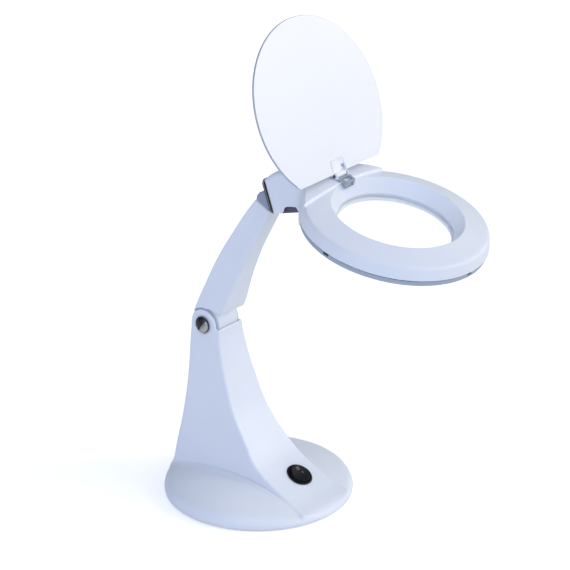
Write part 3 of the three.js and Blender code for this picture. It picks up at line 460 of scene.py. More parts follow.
# --------------------------------------------------------------------------
# base shell
# --------------------------------------------------------------------------
SPINE = [(34.7, 33.4, 161), (35.1, 33.1, 157.1), (36.4, 32.8, 152.3), (38.5, 31.2, 142.9),
  (39.8, 28.9, 133.5), (41.0, 26.1, 124.2), (42.6, 23.1, 115), (44.3, 20, 106),
  (45.5, 16.6, 96.8), (47.0, 13, 87.7), (48.6, 8.6, 79), (50.2, 3.2, 70.5),
  (52.0, -2.9, 62.3), (54.8, -8.9, 54.2), (58.4, -14.9, 46.4), (61.2, -22.8, 39),
  (62.4, -33.3, 32.1), (63.2, -45.5, 25.7), (63.8, -58.7, 19.3), (65.6, -69.0, 14.5)]
REAR = [(17.2, 68.7, 161), (17.6, 68.8, 157.4), (19.6, 69.2, 137.4), (21.1, 69.5, 117),
  (22.4, 70.4, 101.6), (23.2, 71.3, 91.2), (24.2, 72.5, 80.7), (25.1, 73.7, 70.1),
  (26.6, 75.0, 59.6), (28.5, 76.4, 49.5), (30.5, 77.6, 39.7), (31.6, 79.1, 28.5),
  (32, 81.4, 17.3), (32.4, 82.6, 6)]
sp = resample([*SPINE, (68.0, -75, 12.7), (69.6, -80, 11.2), (70.8, -84, 9.6), (70.8, -86.8, 7.6), (70.8, -88.9, 4.6), (70.8, -89.6, 1.5), (70.8, -90, -2)], 0.8, 1.6)
rr_ = resample(REAR, 1.0, 6.0)
o1 = np.argsort(sp[:, 2]); zf_t, wf_t, yf_t = sp[o1, 2], sp[o1, 0] / 2, sp[o1, 1]
o2 = np.argsort(rr_[:, 2]); zr_t, xr_t, yr_t = rr_[o2, 2], rr_[o2, 0], rr_[o2, 1]
spine_poly = [(sp[0, 1], 175)] + [(a, b) for a, b in sp[:, 1:3]] + [(-90, -30), (130, -30), (130, 175)]
SPF = Field2(spine_poly, 0.5, 16)
FOOT = [(0, 0.8), (87.2, 0.8), (89.0, 2.2), (90.0, 5.0), (89.5, 8.6), (88.2, 12.4), (85.6, 15.4), (82, 17.2), (76, 19.2),
        (68, 21.3), (58, 23.4), (45, 25.4), (30, 27.2), (0, 28.4)]
fp = resample(FOOT[2:], 0.7, 1.6)
foot_poly = [(-20, 0.8), (86.6, 0.8), (88.0, 1.3)] + [tuple(p) for p in fp] + [(-20, 28.6)]
FTF = Field2(foot_poly, 0.4, 14)
SLOPE = math.atan(0.504)
SWC = np.array([6, -44.6, 26.35])
def to_switch(P):
    y, z = P[:, 1] - SWC[1], P[:, 2] - SWC[2]
    c, s = math.cos(SLOPE), math.sin(SLOPE)
    return P[:, 0] - SWC[0], y * c + z * s, -y * s + z * c

def f_base(P):
    x, y, z = P[:, 0], P[:, 1], P[:, 2]
    ax = np.abs(x)
    # foot, its dome a little lower at the front
    r = np.hypot(x, y)
    k = 1 - 0.8 * np.clip(-y / 90, 0, 1) ** 2.7
    zz = np.where(z > 5, 5 + (z - 5) / k, z)
    foot = FTF(r, zz)
    a = SPF(y, z)
    # column
    wf = np.interp(z, zf_t, wf_t); xr = np.interp(z, zr_t, xr_t)
    yf = np.interp(z, zf_t, yf_t); yr = np.interp(z, zr_t, yr_t)
    t = np.clip((y - yf) / (yr - yf), 0, 1)
    hx = wf + (xr - wf) * t
    col = smax(ax - hx, a, 2.2)
    col = smax(col, y - yr, 4.5)
    col = smax(col, z - 161, 1.2)
    col = smax(np.maximum(col, 4 - z), r - 89.2, 1.5)
    # the front face runs out through the foot's dome to its rim
    wide = np.interp(y, [-84, -69, -40], [35.6, 33.2, 31.8])
    run = smax(smax(-a, ax - wide, 1.2), y + 38, 1.0)
    foot = smax(foot, -run, 1.4)
    kk = 1.2 + 0.8 * np.clip((y + 50) / 50, 0, 1) + 3.5 * np.clip((y - 45) / 35, 0, 1)
    ridge = np.clip((y + 62) / 30, 0, 1) * np.clip((75 - y) / 40, 0, 1) * (ax > wf - 6)
    foot = foot - 1.5 * ridge * np.exp(-((col - 2.4) / 2.3) ** 2)
    d = smin(foot, col, kk)
    # ears
    R1 = np.hypot(y - 52.5, z - 162.6)
    ear = smax(np.maximum(R1 - 14.5, -(z - 150)), ax - 17.5, 0.9)
    d = smin(d, ear, 1.6)
    slot = smax(ax - 15.0, np.minimum(R1 - 17.0, np.maximum(154 - z, 52.5 - y)), 0.7)
    d = smax(d, -slot, 0.9)
    # seats of the pivot screw's head and nut
    seat = np.maximum(R1 - 9.1, 17.15 - ax)
    d = smax(d, -seat, 0.35)
    d = np.maximum(d, -(R1 - 3.3))
    # switch hole, cable hole, underside recess
    sx, sy, sz = to_switch(P)
    d = smax(d, -np.maximum(np.hypot(sx, sy) - 11.3, -(sz + 18)), 0.5)
    d = np.maximum(d, -np.maximum(np.hypot(x, z - 8.6) - 4.3, 70 - y))
    d = smax(d, -np.maximum(r - 84.6, z - 3.8), 0.5)
    return d

me = sdf_mesh("base_shell_skin", f_base, (-90, -90, 0.8), (90, 90, 177.2), 1.0)
put("base_shell_skin", me, "base", SHELL, "base_shell", slot="white_shell")

# --------------------------------------------------------------------------
# arm
# --------------------------------------------------------------------------
ARM = np.array([
  [17.3, 31.4, 176.2, 67.6, 167.6], [17.0, 27.2, 184.1, 63.0, 178.8], [15.7, 23.3, 194.9, 58.3, 190.6],
  [14.3, 19.1, 205.5, 53.5, 202.0], [13.1, 15.0, 216.4, 48.0, 214.8], [12.0, 10.1, 227.3, 42.0, 227.9],
  [11.4, 5.3, 238.2, 34.9, 241.0], [11.1, 0.1, 249.5, 27.0, 253.6], [10.95, -6.0, 261.0, 18.4, 266.8],
  [10.9, -12.4, 272.7, 9.8, 280.2], [10.85, -18.2, 283.9, 1.2, 292.0], [10.8, -22.2, 292.7, -5.7, 300.8]])
fr = resample(ARM[:, [0, 1, 2]], 1.0, 4.0)
re = resample(ARM[:, [0, 3, 4]], 1.0, 6.0)
arm_poly = [tuple(p) for p in fr[:, 1:3]] + [tuple(p) for p in re[::-1, 1:3]]
AF = Field2(arm_poly, 0.35, 14, blur=0.3)
zA, wA, yA = fr[:, 2], fr[:, 0], fr[:, 1]
def f_arm(P):
    x, y, z = P[:, 0], P[:, 1], P[:, 2]
    ax = np.abs(x)
    # width by height along the arm's own axis
    G = np.interp(z, [168, 182, 228, 262, 297], [8.6, 5.5, -0.4, -5.8, -8.1])
    yf = np.interp(z, zA, yA)
    depth = np.interp(z, [168, 190, 228, 262, 297], [36, 35, 32, 24.5, 17])
    fr_ = np.clip((y - yf) / depth, 0, 1)
    hw = np.interp(z + G * fr_, zA, wA)
    d = smax(AF(y, z), ax - hw, 2.2)
    R1 = np.hypot(y - 52.5, z - 162.6)
    # underside: clear of the ears outside the knuckle
    arch = np.minimum(R1 - 16.0, np.maximum(z - np.interp(y, [20, 38, 46, 47.6], [177.2, 178.9, 179.2, 177.8]), y - 47.6))
    arch = smin(R1 - 16.0, np.maximum(z - np.interp(y, [20, 31.4, 38, 46, 50], [174, 176.3, 178.4, 179.2, 179.2]), y - 49), 1.0)
    d_out = smax(d, -arch, 0.9)
    mid = smax(d, -np.maximum(y - 38.4, z - 176.8), 0.8)
    mid = smax(mid, -(R1 - 15.0), 0.6)
    core = smin(np.maximum(mid, ax - 13.6), np.maximum(R1 - 16.4, ax - 13.6), 1.2)
    out = np.where(ax < 13.6, np.minimum(core, smax(d_out, 13.6 - ax, 0.1)), d_out)
    d = np.minimum(smax(d_out, 13.45 - ax, 0.4), smax(core, ax - 13.6, 0.5))
    return np.maximum(d, -(R1 - 3.3))
me = sdf_mesh("arm_shell_skin", f_arm, (-17.6, -23, 145.8), (17.6, 70, 301.5), 0.8)
put("arm_shell_skin", me, "arm", SHELL, "arm_shell", slot="white_shell")

# dark knuckle at the arm's top
P2 = (-38.03, 316.94)
tongue = [(-2.9, 288.6), (-8.4, 299.2), (-8.5, 300.0), (-6.3, 301.0), (-6.6, 304.6), (-9.2, 308.0), (-14.1, 309.9)]
tongue += [(P2[0] + 8.5 * math.cos(t), P2[1] + 8.5 * math.sin(t)) for t in np.linspace(0.95, math.pi + 0.95, 25)]
tongue += [(-22.3, 293.5), (-19.9, 294.5), (-14.9, 284.2)]
KF = Field2(tongue, 0.25, 6, blur=0.35)
def f_knuckle(P):
    x, y, z = P[:, 0], P[:, 1], P[:, 2]
    ax = np.abs(x)
    below = (y + 13.95) * -0.4403 + (z - 296.75) * 0.8978      # height above the arm's end
    hw = np.where(below < 0.25, 7.6, np.where(below < 9, 8.6, 8.3))
    hw = 7.6 + (np.interp(below, [0.0, 0.5, 9, 13], [0, 2.4, 2.2, 0.7]))
    d = smax(KF(y, z), ax - hw, 1.2)
    return np.maximum(d, -(np.hypot(y - P2[0], z - P2[1]) - 2.8))
me = sdf_mesh("arm_knuckle_skin", f_knuckle, (-10.2, -47, 284), (10.2, -2.5, 325.8), 0.5)
put("arm_knuckle_skin", me, "arm", DARK, "arm_knuckle", slot="dark_plastic")

# --------------------------------------------------------------------------
# head housing
# --------------------------------------------------------------------------
RING = [(59.84, 0), (70, -2.84), (81.2, -5.9), (82.9, -6.75), (83.9, -8.6), (85.75, -18.43), (56.8, -18.43), (56.8, -20.4),
        (54.4, -20.4), (54.4, -14.0), (52.4, -13.7), (52.4, -12.35)]
RF = Field2(fillet(RING, [0.5, 0, 1.0, 1.0, 1.0, 0.5, 0.3, 0.3, 0.3, 0.2, 0.4, 0.4]), 0.2, 12, blur=0.16)
CHF = Field2(fillet([(57.2, -60), (57.2, -12.5), (62.2, -3.3), (81.3, -8.7), (82.9, -10.6), (82.9, -60)], 0.8), 0.3, 6)
HOLE = Field2([(-10, -80), (54.4, -80), (54.4, -14.0), (52.4, -13.7), (52.4, -12.35), (59.84, 0), (64.0, 6.9), (64, 30), (-10, 30)], 0.25, 6)
top = np.array([(134.0, -26.8), (129.3, -20.2), (123.4, -14.0), (116.5, -9.2), (107.5, -5.2), (98, -2.2), (90, -0.2), (82, 1.4), (74, 2.3), (66.8, 2.4), (60.5, 1.9)])
bot = np.array([(116.0, -54.9), (110.5, -51.3), (104.5, -48.0), (99.5, -45.2), (94.0, -42.0), (89.5, -39.2), (85.5, -36.2), (80.8, -32.4), (74.3, -28.0), (67.3, -24.0), (60.5, -20.6)])
top_s, bot_s = resample(top, 1.0, 3.0), resample(bot, 1.0, 3.0)
neck_poly = [tuple(p) for p in top_s] + [(60.5, -9.0), (46, -12), (46, -18.43)] + [tuple(p) for p in bot_s[::-1]]
NF = Field2(neck_poly, 0.3, 12)
e_ = np.array([0.842, -0.539])
inner_poly = [tuple(top_s[0] + e_ * 14 + np.array([.539, .842]) * 0)] + [tuple(p) for p in top_s] + [(60.5, -9.0), (46, -12), (46, -18.43)] + [tuple(p) for p in bot_s[::-1]] + [tuple(bot_s[0] + e_ * 14)]
NIF = Field2(inner_poly, 0.4, 12)
ht_u = [46, 60.5, 66.8, 74, 82, 90, 98, 107, 123, 129.3, 134]
ht_w = [63, 57.0, 50.2, 42.0, 33.0, 25.3, 22.3, 22.0, 22.0, 21.9, 21.6]
hb_u = [46, 60.5, 67.3, 74.3, 80.8, 85.5, 89.5, 94, 104, 116, 134]
hb_w = [71.5, 60.1, 52.6, 44.0, 34.0, 26.8, 23.1, 22.2, 22.0, 21.8, 21.7]
def smooth_tab(xs, ys, s=2.0):
    g = np.arange(40, 150, 0.5)
    v = np.interp(g, xs, ys)
    k = np.exp(-0.5 * (np.arange(-20, 21) * 0.5 / s) ** 2); k /= k.sum()
    return g, np.convolve(np.pad(v, 20, "edge"), k, "valid")
gh, HT = smooth_tab(ht_u, ht_w); _, HB = smooth_tab(hb_u, hb_w)
_, CR = smooth_tab([46, 60.5, 66.8, 74, 82, 90, 98, 107, 134], [6.9, 6.4, 5.4, 4.3, 3.0, 1.9, 1.3, 1.2, 0.8])
dHT = np.gradient(HT, gh)
vt_u, vt_v = top_s[::-1, 0], top_s[::-1, 1]
vb_u, vb_v = bot_s[::-1, 0], bot_s[::-1, 1]
NOTCH = Field2(fillet([(106.0, -54), (105.0, -42.6), (102.9, -40.0), (92.0, -34.6), (89.8, -35.4), (87.0, -46)], 1.2), 0.25, 5)
SLOTF = Field2([(142, -30), (112, -38), (93, -30), (86, -60), (100, -77), (152, -77)], 0.4, 8)
def neck(x, u, v):
    ax = np.abs(x)
    ht = np.interp(u, gh, HT); hb = np.interp(u, gh, HB); cr = np.interp(u, gh, CR)
    vt = np.interp(u, vt_u, vt_v); vb = np.interp(u, vb_u, vb_v)
    fr_ = np.clip((vt - v) / np.maximum(vt - vb, 6), 0, 1)
    hw = ht + (hb - ht) * fr_
    c = 1 / np.sqrt(1 + np.interp(u, gh, dHT) ** 2)
    lift = np.clip((ax - 20) / 22, 0, 1) * np.maximum(0, -18.43 - vb)
    vv = v + cr * np.minimum((ax / ht) ** 2, 1.6) - lift * fr_
    side = NF(u, vv)
    return side, (ax - hw) * c, vv, hw, c
def f_head_local(x, u, v):
    ax = np.abs(x); r = np.hypot(x, u)
    ring = RF(r, v)
    side, w, vv, hw, c = neck(x, u, v)
    kr = np.interp(u, [76, 96], [1.6, 5.0])
    nk = smax(side, w, kr)
    # blends into the ring's wall below, meets its cone with a crisp step above
    kb = np.interp(v, [-9, -6], [2.2, 0.25])
    d = smin(ring, nk, kb)
    chan = np.maximum(CHF(r, v), np.minimum(u - 60.2, -19 - v))
    d = smax(d, -chan, 0.4)
    d = np.maximum(d, -np.maximum(np.maximum(r - 85.4, v + 18.44), u - 60.2))
    nin = smax(NIF(u, vv) + 2.5, w + 2.5 * c, 2.0)
    nin = np.maximum(nin, 70.5 - u)
    d = smax(d, -nin, 0.4)
    d = smax(d, -HOLE(r, v), 0.35)
    # slot under the neck, small side notches, recess under the hinge
    d = smax(d, -smax(SLOTF(u, v), ax - 10.4, 1.2), 0.5)
    d = smax(d, -smax(NOTCH(u, v), 18.6 - ax, 0.3), 0.45)
    d = np.minimum(d, np.maximum(np.maximum(NOTCH(u, v) - 1.6, np.abs(ax - 17.6) - 0.8), side + 0.6))
    d = smax(d, -np.maximum(np.maximum(ax - 6.8, np.abs(u - 68.1) - 3.5), 1.4 - v), 0.3)
    R2 = np.hypot(u - 117.5, v + 34.5)
    boss = smax(smax(R2 - 7.5, 9.8 - ax, 0.5), ax - 21, 0.5)
    d = smin(d, boss, 0.8)
    d = np.maximum(d, -np.maximum(R2 - 2.8, ax - 20.7))
    return d
def f_head(P):
    return f_head_local(P[:, 0], P[:, 1], P[:, 2])
me = head_to_world(sdf_mesh("head_housing_skin", f_head, (-86, -86, -56), (86, 135.5, 3.4), 0.7, passes=1))
put("head_housing_skin", me, "head", SHELL, "head_housing", slot="white_shell")
# painted shade: a near-black colour for the side notches under the neck, standing in for the shade in that recess
POCKET_SHADE = plastic("pocket_painted_shade", (0.07, 0.065, 0.12), (0.10, 0.095, 0.15), rough=0.5)
# painted highlight: a near-white copy of the shell colour for the step face where the ring's top meets the neck,
# standing in for the bright line of light along that edge
LEDGE_HIGHLIGHT = plastic("ledge_painted_highlight", (0.95, 0.96, 0.97), (0.93, 0.945, 0.96), rough=0.25, bump=0.02)
me.materials.append(POCKET_SHADE); me.materials.append(LEDGE_HIGHLIGHT)
cc = np.zeros(len(me.polygons) * 3, np.float32); me.polygons.foreach_get("center", cc)
hx_, hu_, hv_ = to_head(cc.reshape(-1, 3).astype(float) / MM)
nn = np.zeros(len(me.polygons) * 3, np.float32); me.polygons.foreach_get("normal", nn)
nn = nn.reshape(-1, 3); nu_ = nn[:, 1] * CT + nn[:, 2] * ST
# painted shade: faces of the side notches and of the plate inside them take the near-black colour
pocket = (NOTCH(hu_, hv_) < 1.0) & (np.abs(hx_) < 20.6) & (np.abs(hx_) > 16.0)
# painted highlight: faces of that step take the near-white colour
ledge = (np.abs(hu_ - 60.5) < 1.3) & (hv_ > -9.5) & (np.abs(hx_) < 62) & (nu_ < -0.45) & (np.hypot(hx_, hu_) > 60.9)
me.polygons.foreach_set("material_index", np.where(pocket, 1, np.where(ledge, 2, 0)).astype(np.int32)); me.update()


# dark frame on the open end of the neck
def f_rim(P):
    x, u, v = P[:, 0], P[:, 1], P[:, 2]
    q = (u - 134.0) * 0.842 + (v + 26.8) * -0.539
    s = -((u - 134.0) * 0.539 + (v + 26.8) * 0.842)
    def rb(hx, hs, r):
        a, b = np.abs(x) - hx + r, np.abs(s - 16.9) - hs + r
        return np.hypot(np.maximum(a, 0), np.maximum(b, 0)) + np.minimum(np.maximum(a, b), 0) - r
    d = smax(rb(21.65, 16.6, 5.0), np.abs(q - 1.375) - 1.0, 0.5)
    d = smax(d, -smax(np.abs(q - 1.5) - 0.22, -rb(21.3, 16.25, 4.7), 0.05), 0.1)
    d = smax(d, -rb(18.7, 13.6, 2.0), 0.5)
    return smax(d, -np.maximum(np.abs(x) - 10.4, 22 - s), 0.4)
me = head_to_world(sdf_mesh("neck_rim_skin", f_rim, (-22, 112, -58), (22, 138, -24), 0.4))
put("neck_rim_skin", me, "head", RIM, "neck_rim", slot="dark_plastic")
second(me, RIM_BAND, lambda x, u, v: (np.abs((u - 134.0) * 0.842 + (v + 26.8) * -0.539 - 0.95) < 0.5))

# grey lower ring with its latch notches
CVF = Field2(fillet([(77.2, -18.75), (84.55, -18.75), (84.8, -20.4), (84.5, -23.0), (84.0, -23.9), (83.2, -23.9), (83.1, -22.3), (77.2, -22.3)], 0.3), 0.15, 6, blur=0.1)
def f_cover(P):
    x, u, v = P[:, 0], P[:, 1], P[:, 2]
    d = CVF(np.hypot(x, u), v)
    d = smax(d, u - 59.9, 0.3)
    for a in (0, -97.6, 97.6):
        t = math.radians(a)
        t1 = x * math.cos(t) + u * math.sin(t); r1 = x * math.sin(t) - u * math.cos(t)
        d = smax(d, -np.maximum(np.maximum(np.abs(t1) - 3.2, 82.9 - r1), -21.6 - v), 0.2)
    return d
me = head_to_world(sdf_mesh("head_lower_cover_skin", f_cover, (-85, -85, -24.0), (85, 60, -18.6), 0.6, B=5))
put("head_lower_cover_skin", me, "head", GREY, "head_lower_cover", slot="grey_plastic")
JOINT = plastic("joint_shadow", (0.05, 0.05, 0.07), (0.07, 0.07, 0.09), rough=0.7)
def joint(x, u, v):
    m = v > -19.35
    for a in (0, -97.6, 97.6):
        t = math.radians(a)
        m |= (np.abs(x * math.cos(t) + u * math.sin(t)) < 3.6) & (x * math.sin(t) - u * math.cos(t) > 82.2) & (v > -21.9) & (np.hypot(x, u) < 84.0)
    return m
second(me, JOINT, joint)

# lens, retainer, circular tube with metal ends
def sag(r): return 4.2 * (1 - (r / 54) ** 2)
prof = [(r, -14.3 + sag(r)) for r in np.linspace(0, 53.6, 24)] + [(54, -14.5), (54, -16.3)] + [(r, -16.5 - sag(r)) for r in np.linspace(53.6, 0, 24)]
me = head_to_world(lathe("lens_skin", prof, 160, closed=False, smooth_angle=40))
put("lens_skin", me, "head", GLASS, "lens", slot="lens_glass")
me = head_to_world(lathe("lens_retainer_skin", fillet([(51.2, -17.4), (54.1, -17.0), (54.1, -20.0), (51.6, -20.0)], 0.4, 3), 160))
put("lens_retainer_skin", me, "head", WHITE, "lens_retainer", slot="grey_plastic")

def arc_tube(name, R, rr, v0, a0, a1, n, m=24, caps=((0, 1.0),)):
    bm = bmesh.new(); rings = []
    for i in range(n + 1):
        a = a0 + (a1 - a0) * i / n
        rings.append([bm.verts.new(((R + rr * math.cos(b)) * math.sin(a) * MM, (R + rr * math.cos(b)) * math.cos(a) * MM, (v0 + rr * math.sin(b)) * MM))
                      for b in [2 * math.pi * j / m for j in range(m)]])
    for i in range(n):
        for j in range(m):
            bm.faces.new((rings[i][j], rings[i][(j + 1) % m], rings[i + 1][(j + 1) % m], rings[i + 1][j]))
    bm.faces.new(rings[0][::-1]); bm.faces.new(rings[-1])
    bmesh.ops.recalc_face_normals(bm, faces=bm.faces)
    me = bpy.data.meshes.new(name); bm.to_mesh(me); bm.free(); shade(me, 40)
    return me
d2r = math.radians
put("lamp_tube_skin", head_to_world(arc_tube("lamp_tube_skin", 69.5, 5.7, -12.8, d2r(15), d2r(345), 150)), "head", TUBE, "lamp_tube", slot="lamp_glass")
put("lamp_tube_cap_a", head_to_world(arc_tube("lamp_tube_cap_a", 69.5, 5.95, -12.8, d2r(9.7), d2r(15.6), 6)), "head", STEEL, slot="steel")
put("lamp_tube_cap_b", head_to_world(arc_tube("lamp_tube_cap_b", 69.5, 5.95, -12.8, d2r(344.4), d2r(350.3), 6)), "head", STEEL, slot="steel")

# --------------------------------------------------------------------------
# hinge bracket, pin, leaf, lid
# --------------------------------------------------------------------------
EAR = Field2(fillet([(64.5, 2.8), (63.8, 4.6), (65.2, 6.9), (67.6, 7.6), (70.0, 7.0), (76.6, 8.6), (78.0, 7.9), (77.4, 6.4), (72.6, 3.2), (71.8, 2.8)],
                    [0.1, 0.5, 0.9, 1.0, 1.2, 0.6, 0.7, 0.7, 0.6, 0.1]), 0.1, 3, blur=0.08)
PLATE = Field2([(60.9, 2.8), (60.9, 4.2), (73.4, 4.2), (74.6, 3.1), (74.6, 2.8)], 0.1, 3)
CLIP = Field2(fillet([(63.2, 2.75), (61.2, 2.7), (60.15, 2.5), (60.15, 0.35), (59.5, 0.35), (57.25, -2.5), (55.2, -2.4), (55.2, 4.6), (63.2, 4.6)],
                     [0.1, 0.1, 0.1, 0.1, 0.1, 0.4, 0.4, 0.5, 0.3]), 0.1, 3, blur=0.08)
def f_bracket(P):
    x, u, v = P[:, 0], P[:, 1], P[:, 2]
    ax = np.abs(x)
    plate = smax(PLATE(u, v), ax - 8.6, 0.3)
    ears = smax(EAR(u, v), np.abs(ax - 7.65) - 0.75, 0.35)
    clip = smax(CLIP(u, v), ax - 6.5, 0.4)
    d = np.minimum(np.minimum(plate, ears), clip)
    d = smax(d, -np.maximum(ax - 6.8, np.abs(u - 68.15) - 3.25), 0.2)
    d = np.maximum(d, -(np.hypot(u - 68, v - 4.5) - 1.45))
    d = smax(d, -np.maximum(ax - 5.1, np.abs(u - 59.3) - 2.75), 0.2)
    d = smax(d, -np.maximum(np.maximum(ax - 4.3, u - 57.6), np.abs(v + 0.1) - 1.45), 0.2)
    return d
me = head_to_world(sdf_mesh("hinge_bracket_skin", f_bracket, (-8.8, 55, -2.7), (8.8, 78.2, 8.8), 0.24, passes=1))
put("hinge_bracket_skin", me, "head", BRACKET, "hinge_bracket", slot="white_shell")
second(me, CLIPMAT, lambda x, u, v: (u < 63.4) | (np.abs(x) < 6.75) & (v < 4.3))

me = lathe("lid_hinge_pin_skin", fillet([(0, -9.4), (1.2, -9.4), (1.2, 9.4), (0, 9.4)], [0, 0.25, 0.25, 0], 3), 32, closed=False)
transform(me, Matrix.Translation((0, 68 * MM, 4.5 * MM)) @ Matrix.Rotation(math.pi / 2, 4, "Y"))
put("lid_hinge_pin_skin", head_to_world(me), "head", DSTEEL, "lid_hinge_pin", slot="steel")

LA = math.radians(126)
ld = np.array([-math.cos(LA), math.sin(LA)])
def lid_to_head(P):
    """x, along the lid from its straight edge, through its thickness -> head frame."""
    x, s, t = P[:, 0], P[:, 1], P[:, 2]
    return np.stack([x, 68.97 + ld[0] * s - ld[1] * t, 6.11 + ld[1] * s + ld[0] * t], 1)
def head_to_lid(x, u, v):
    du, dv = u - 68.97, v - 6.11
    return x, du * ld[0] + dv * ld[1], -du * ld[1] + dv * ld[0]
def lid_mesh(me):
    co = np.zeros(len(me.vertices) * 3, np.float32); me.vertices.foreach_get("co", co)
    q = lid_to_head(co.reshape(-1, 3).astype(float) / MM)
    me.vertices.foreach_set("co", (q * MM).astype(np.float32).ravel()); me.update()
    return head_to_world(me)
R_, HCH = 82.88, 61.1
half = math.sqrt(R_ ** 2 - HCH ** 2)
a0 = math.atan2(-HCH, half)
N_ = 260
arc = [(R_ * math.cos(a0 + (math.pi - 2 * a0) * i / N_), HCH + R_ * math.sin(a0 + (math.pi - 2 * a0) * i / N_)) for i in range(N_ + 1)]
corner = [(9.2, 0), arc[0]] + arc[1:-1] + [arc[-1], (-9.2, 0), (-9.2, 12), (9.2, 12)]
rad = [1.0, 1.2] + [0] * (len(arc) - 2) + [1.2, 1.0, 1.6, 1.6]
outline = fillet(corner, rad, 4)
T2 = 1.1
def inset(poly, d):
    p = np.array(poly); n = len(p)
    a, b = np.roll(p, 1, 0), np.roll(p, -1, 0)
    e1 = p - a; e2 = b - p
    n1 = np.stack([-e1[:, 1], e1[:, 0]], 1) / np.maximum(np.linalg.norm(e1, axis=1), 1e-9)[:, None]
    n2 = np.stack([-e2[:, 1], e2[:, 0]], 1) / np.maximum(np.linalg.norm(e2, axis=1), 1e-9)[:, None]
    m = n1 + n2; m /= np.maximum(np.linalg.norm(m, axis=1), 1e-9)[:, None]
    c = np.maximum((m * n1).sum(1), 0.5)
    return p + m * (d / c)[:, None]
bm = bmesh.new()
levels = [(0.35, -T2), (0.1, -T2 + 0.12), (0.0, -T2 + 0.4), (0.0, T2 - 0.4), (0.1, T2 - 0.12), (0.45, T2)]
rings = []
for d, t in levels:
    q = inset(outline, d)
    rings.append([bm.verts.new((a * MM, b * MM, t * MM)) for a, b in q])
n = len(outline)
for i in range(len(levels) - 1):
    for j in range(n):
        f_ = bm.faces.new((rings[i][j], rings[i][(j + 1) % n], rings[i + 1][(j + 1) % n], rings[i + 1][j]))
        f_.material_index = 1 if i in (1, 2, 3) else 0
for ring_, flip in ((rings[0], True), (rings[-1], False)):
    f_ = bm.faces.new(ring_[::-1] if flip else ring_)
bmesh.ops.triangulate(bm, faces=[f for f in bm.faces if len(f.verts) > 4])
bmesh.ops.recalc_face_normals(bm, faces=bm.faces)
me = bpy.data.meshes.new("lid_panel_skin"); bm.to_mesh(me); bm.free(); shade(me, 30)
o = put("lid_panel_skin", lid_mesh(me), "lid", LID, "lid_panel", slot="milky_lid")
def on_edge(x, u, v):
    x, a, t = head_to_lid(x, u, v)
    r = np.hypot(x, a - HCH)
    return ((np.abs(t) < 0.75) & ((r > R_ - 0.3) | (a < 0.3))) | ((t > 0) & (r > R_ - 0.4) & (a > 3))
# painted shade: the lid's edge faces and the rim band of its top face take the grey edge colour
second(me, LID_EDGE_SHADE, on_edge)


pl = head_to_lid(0, 68.0, 4.5)
def f_leaf(P):
    x, s, t = P[:, 0], P[:, 1], P[:, 2]
    ax = np.abs(x)
    barrel = np.hypot(s - pl[1], t - pl[2]) - 2.5
    web = np.maximum(np.maximum(pl[1] - s, s - 18.5), np.abs(t + 2.05) - 0.65)
    wd = 6.4 + 2.5 * np.clip((s - 5.7) / 0.8, 0, 1) - 3.0 * np.clip((s - 13) / 5.5, 0, 1) ** 2
    d = smax(smin(barrel, web, 1.0), ax - wd, 0.4)
    for hx in (0.0,):
        d = smin(d, smax(np.hypot(x - hx, s - 15) - 1.6, np.abs(t + 2.5) - 0.85, 0.4), 0.2)
    return np.maximum(d, -(np.hypot(s - pl[1], t - pl[2]) - 1.45))
me = lid_mesh(sdf_mesh("lid_leaf_skin", f_leaf, (-9.1, -5, -3.6), (9.1, 18.8, 2.9), 0.27, passes=1))
put("lid_leaf_skin", me, "lid", LID, "lid_leaf", slot="white_fittings")

# --------------------------------------------------------------------------
# pivot hardware
# --------------------------------------------------------------------------
CAPF = Field2([(-6, -18.35), (8.2, -18.35), (8.2, -18.9), (7.6, -19.75), (6.2, -20.6), (4.2, -21.3), (2.2, -21.75), (0, -21.9), (-6, -21.9)], 0.12, 4, blur=0.1)
ca, sa = math.cos(0.60), math.sin(0.60)
def f_cap(P):
    x, y, z = P[:, 0], P[:, 1] - 52.5, P[:, 2] - 162.6
    r = np.hypot(y, z)
    d = CAPF(r, x)
    s1 = y * ca + z * sa
    d = smax(d, -np.maximum(np.abs(s1) - 1.05, x + 20.2), 0.2)
    return smin(d, np.maximum(r - 3.0, np.maximum(x - 19.0, -19 - x)), 0.2)
me = sdf_mesh("lower_pivot_screw_skin", f_cap, (-22.1, 44, 154), (19.2, 61, 171), 0.28, B=8, passes=1)
put("lower_pivot_screw_skin", me, "base", CAPMAT, "lower_pivot_screw", slot="dark_steel")
# painted shade: the screw slot's walls and floor and the cap's outer edge take the near-black rim material, standing in
# for the shade in the slot and around its seat
me.materials.append(RIM)
cc = np.zeros(len(me.polygons) * 3, np.float32); me.polygons.foreach_get("center", cc)
cc = cc.reshape(-1, 3).astype(float) / MM
yy, zz_ = cc[:, 1] - 52.5, cc[:, 2] - 162.6
dark = (np.abs(yy * ca + zz_ * sa) < 1.15) & (cc[:, 0] > -20.9) | (np.hypot(yy, zz_) > 7.5)
me.polygons.foreach_set("material_index", np.where(dark, 1, 0).astype(np.int32)); me.update()
NUTF = Field2([(-6, 18.35), (7.9, 18.35), (7.9, 20.6), (6.9, 21.5), (5.8, 21.8), (-6, 21.8)], 0.12, 4, blur=0.1)
def f_nut(P):
    x, y, z = P[:, 0], P[:, 1] - 52.5, P[:, 2] - 162.6
    d = NUTF(np.hypot(y, z), x)
    for k in range(3):
        t = math.pi / 3 * k
        d = smax(d, np.abs(y * math.cos(t) + z * math.sin(t)) - 6.6, 0.25)
    return smax(d, -np.maximum(np.hypot(y, z) - 3.2, 20.9 - x), 0.2)
me = sdf_mesh("lower_pivot_nut_skin", f_nut, (18, 44, 154), (22, 61, 171), 0.3, passes=1)
put("lower_pivot_nut_skin", me, "base", DSTEEL, "lower_pivot_nut", slot="dark_steel")
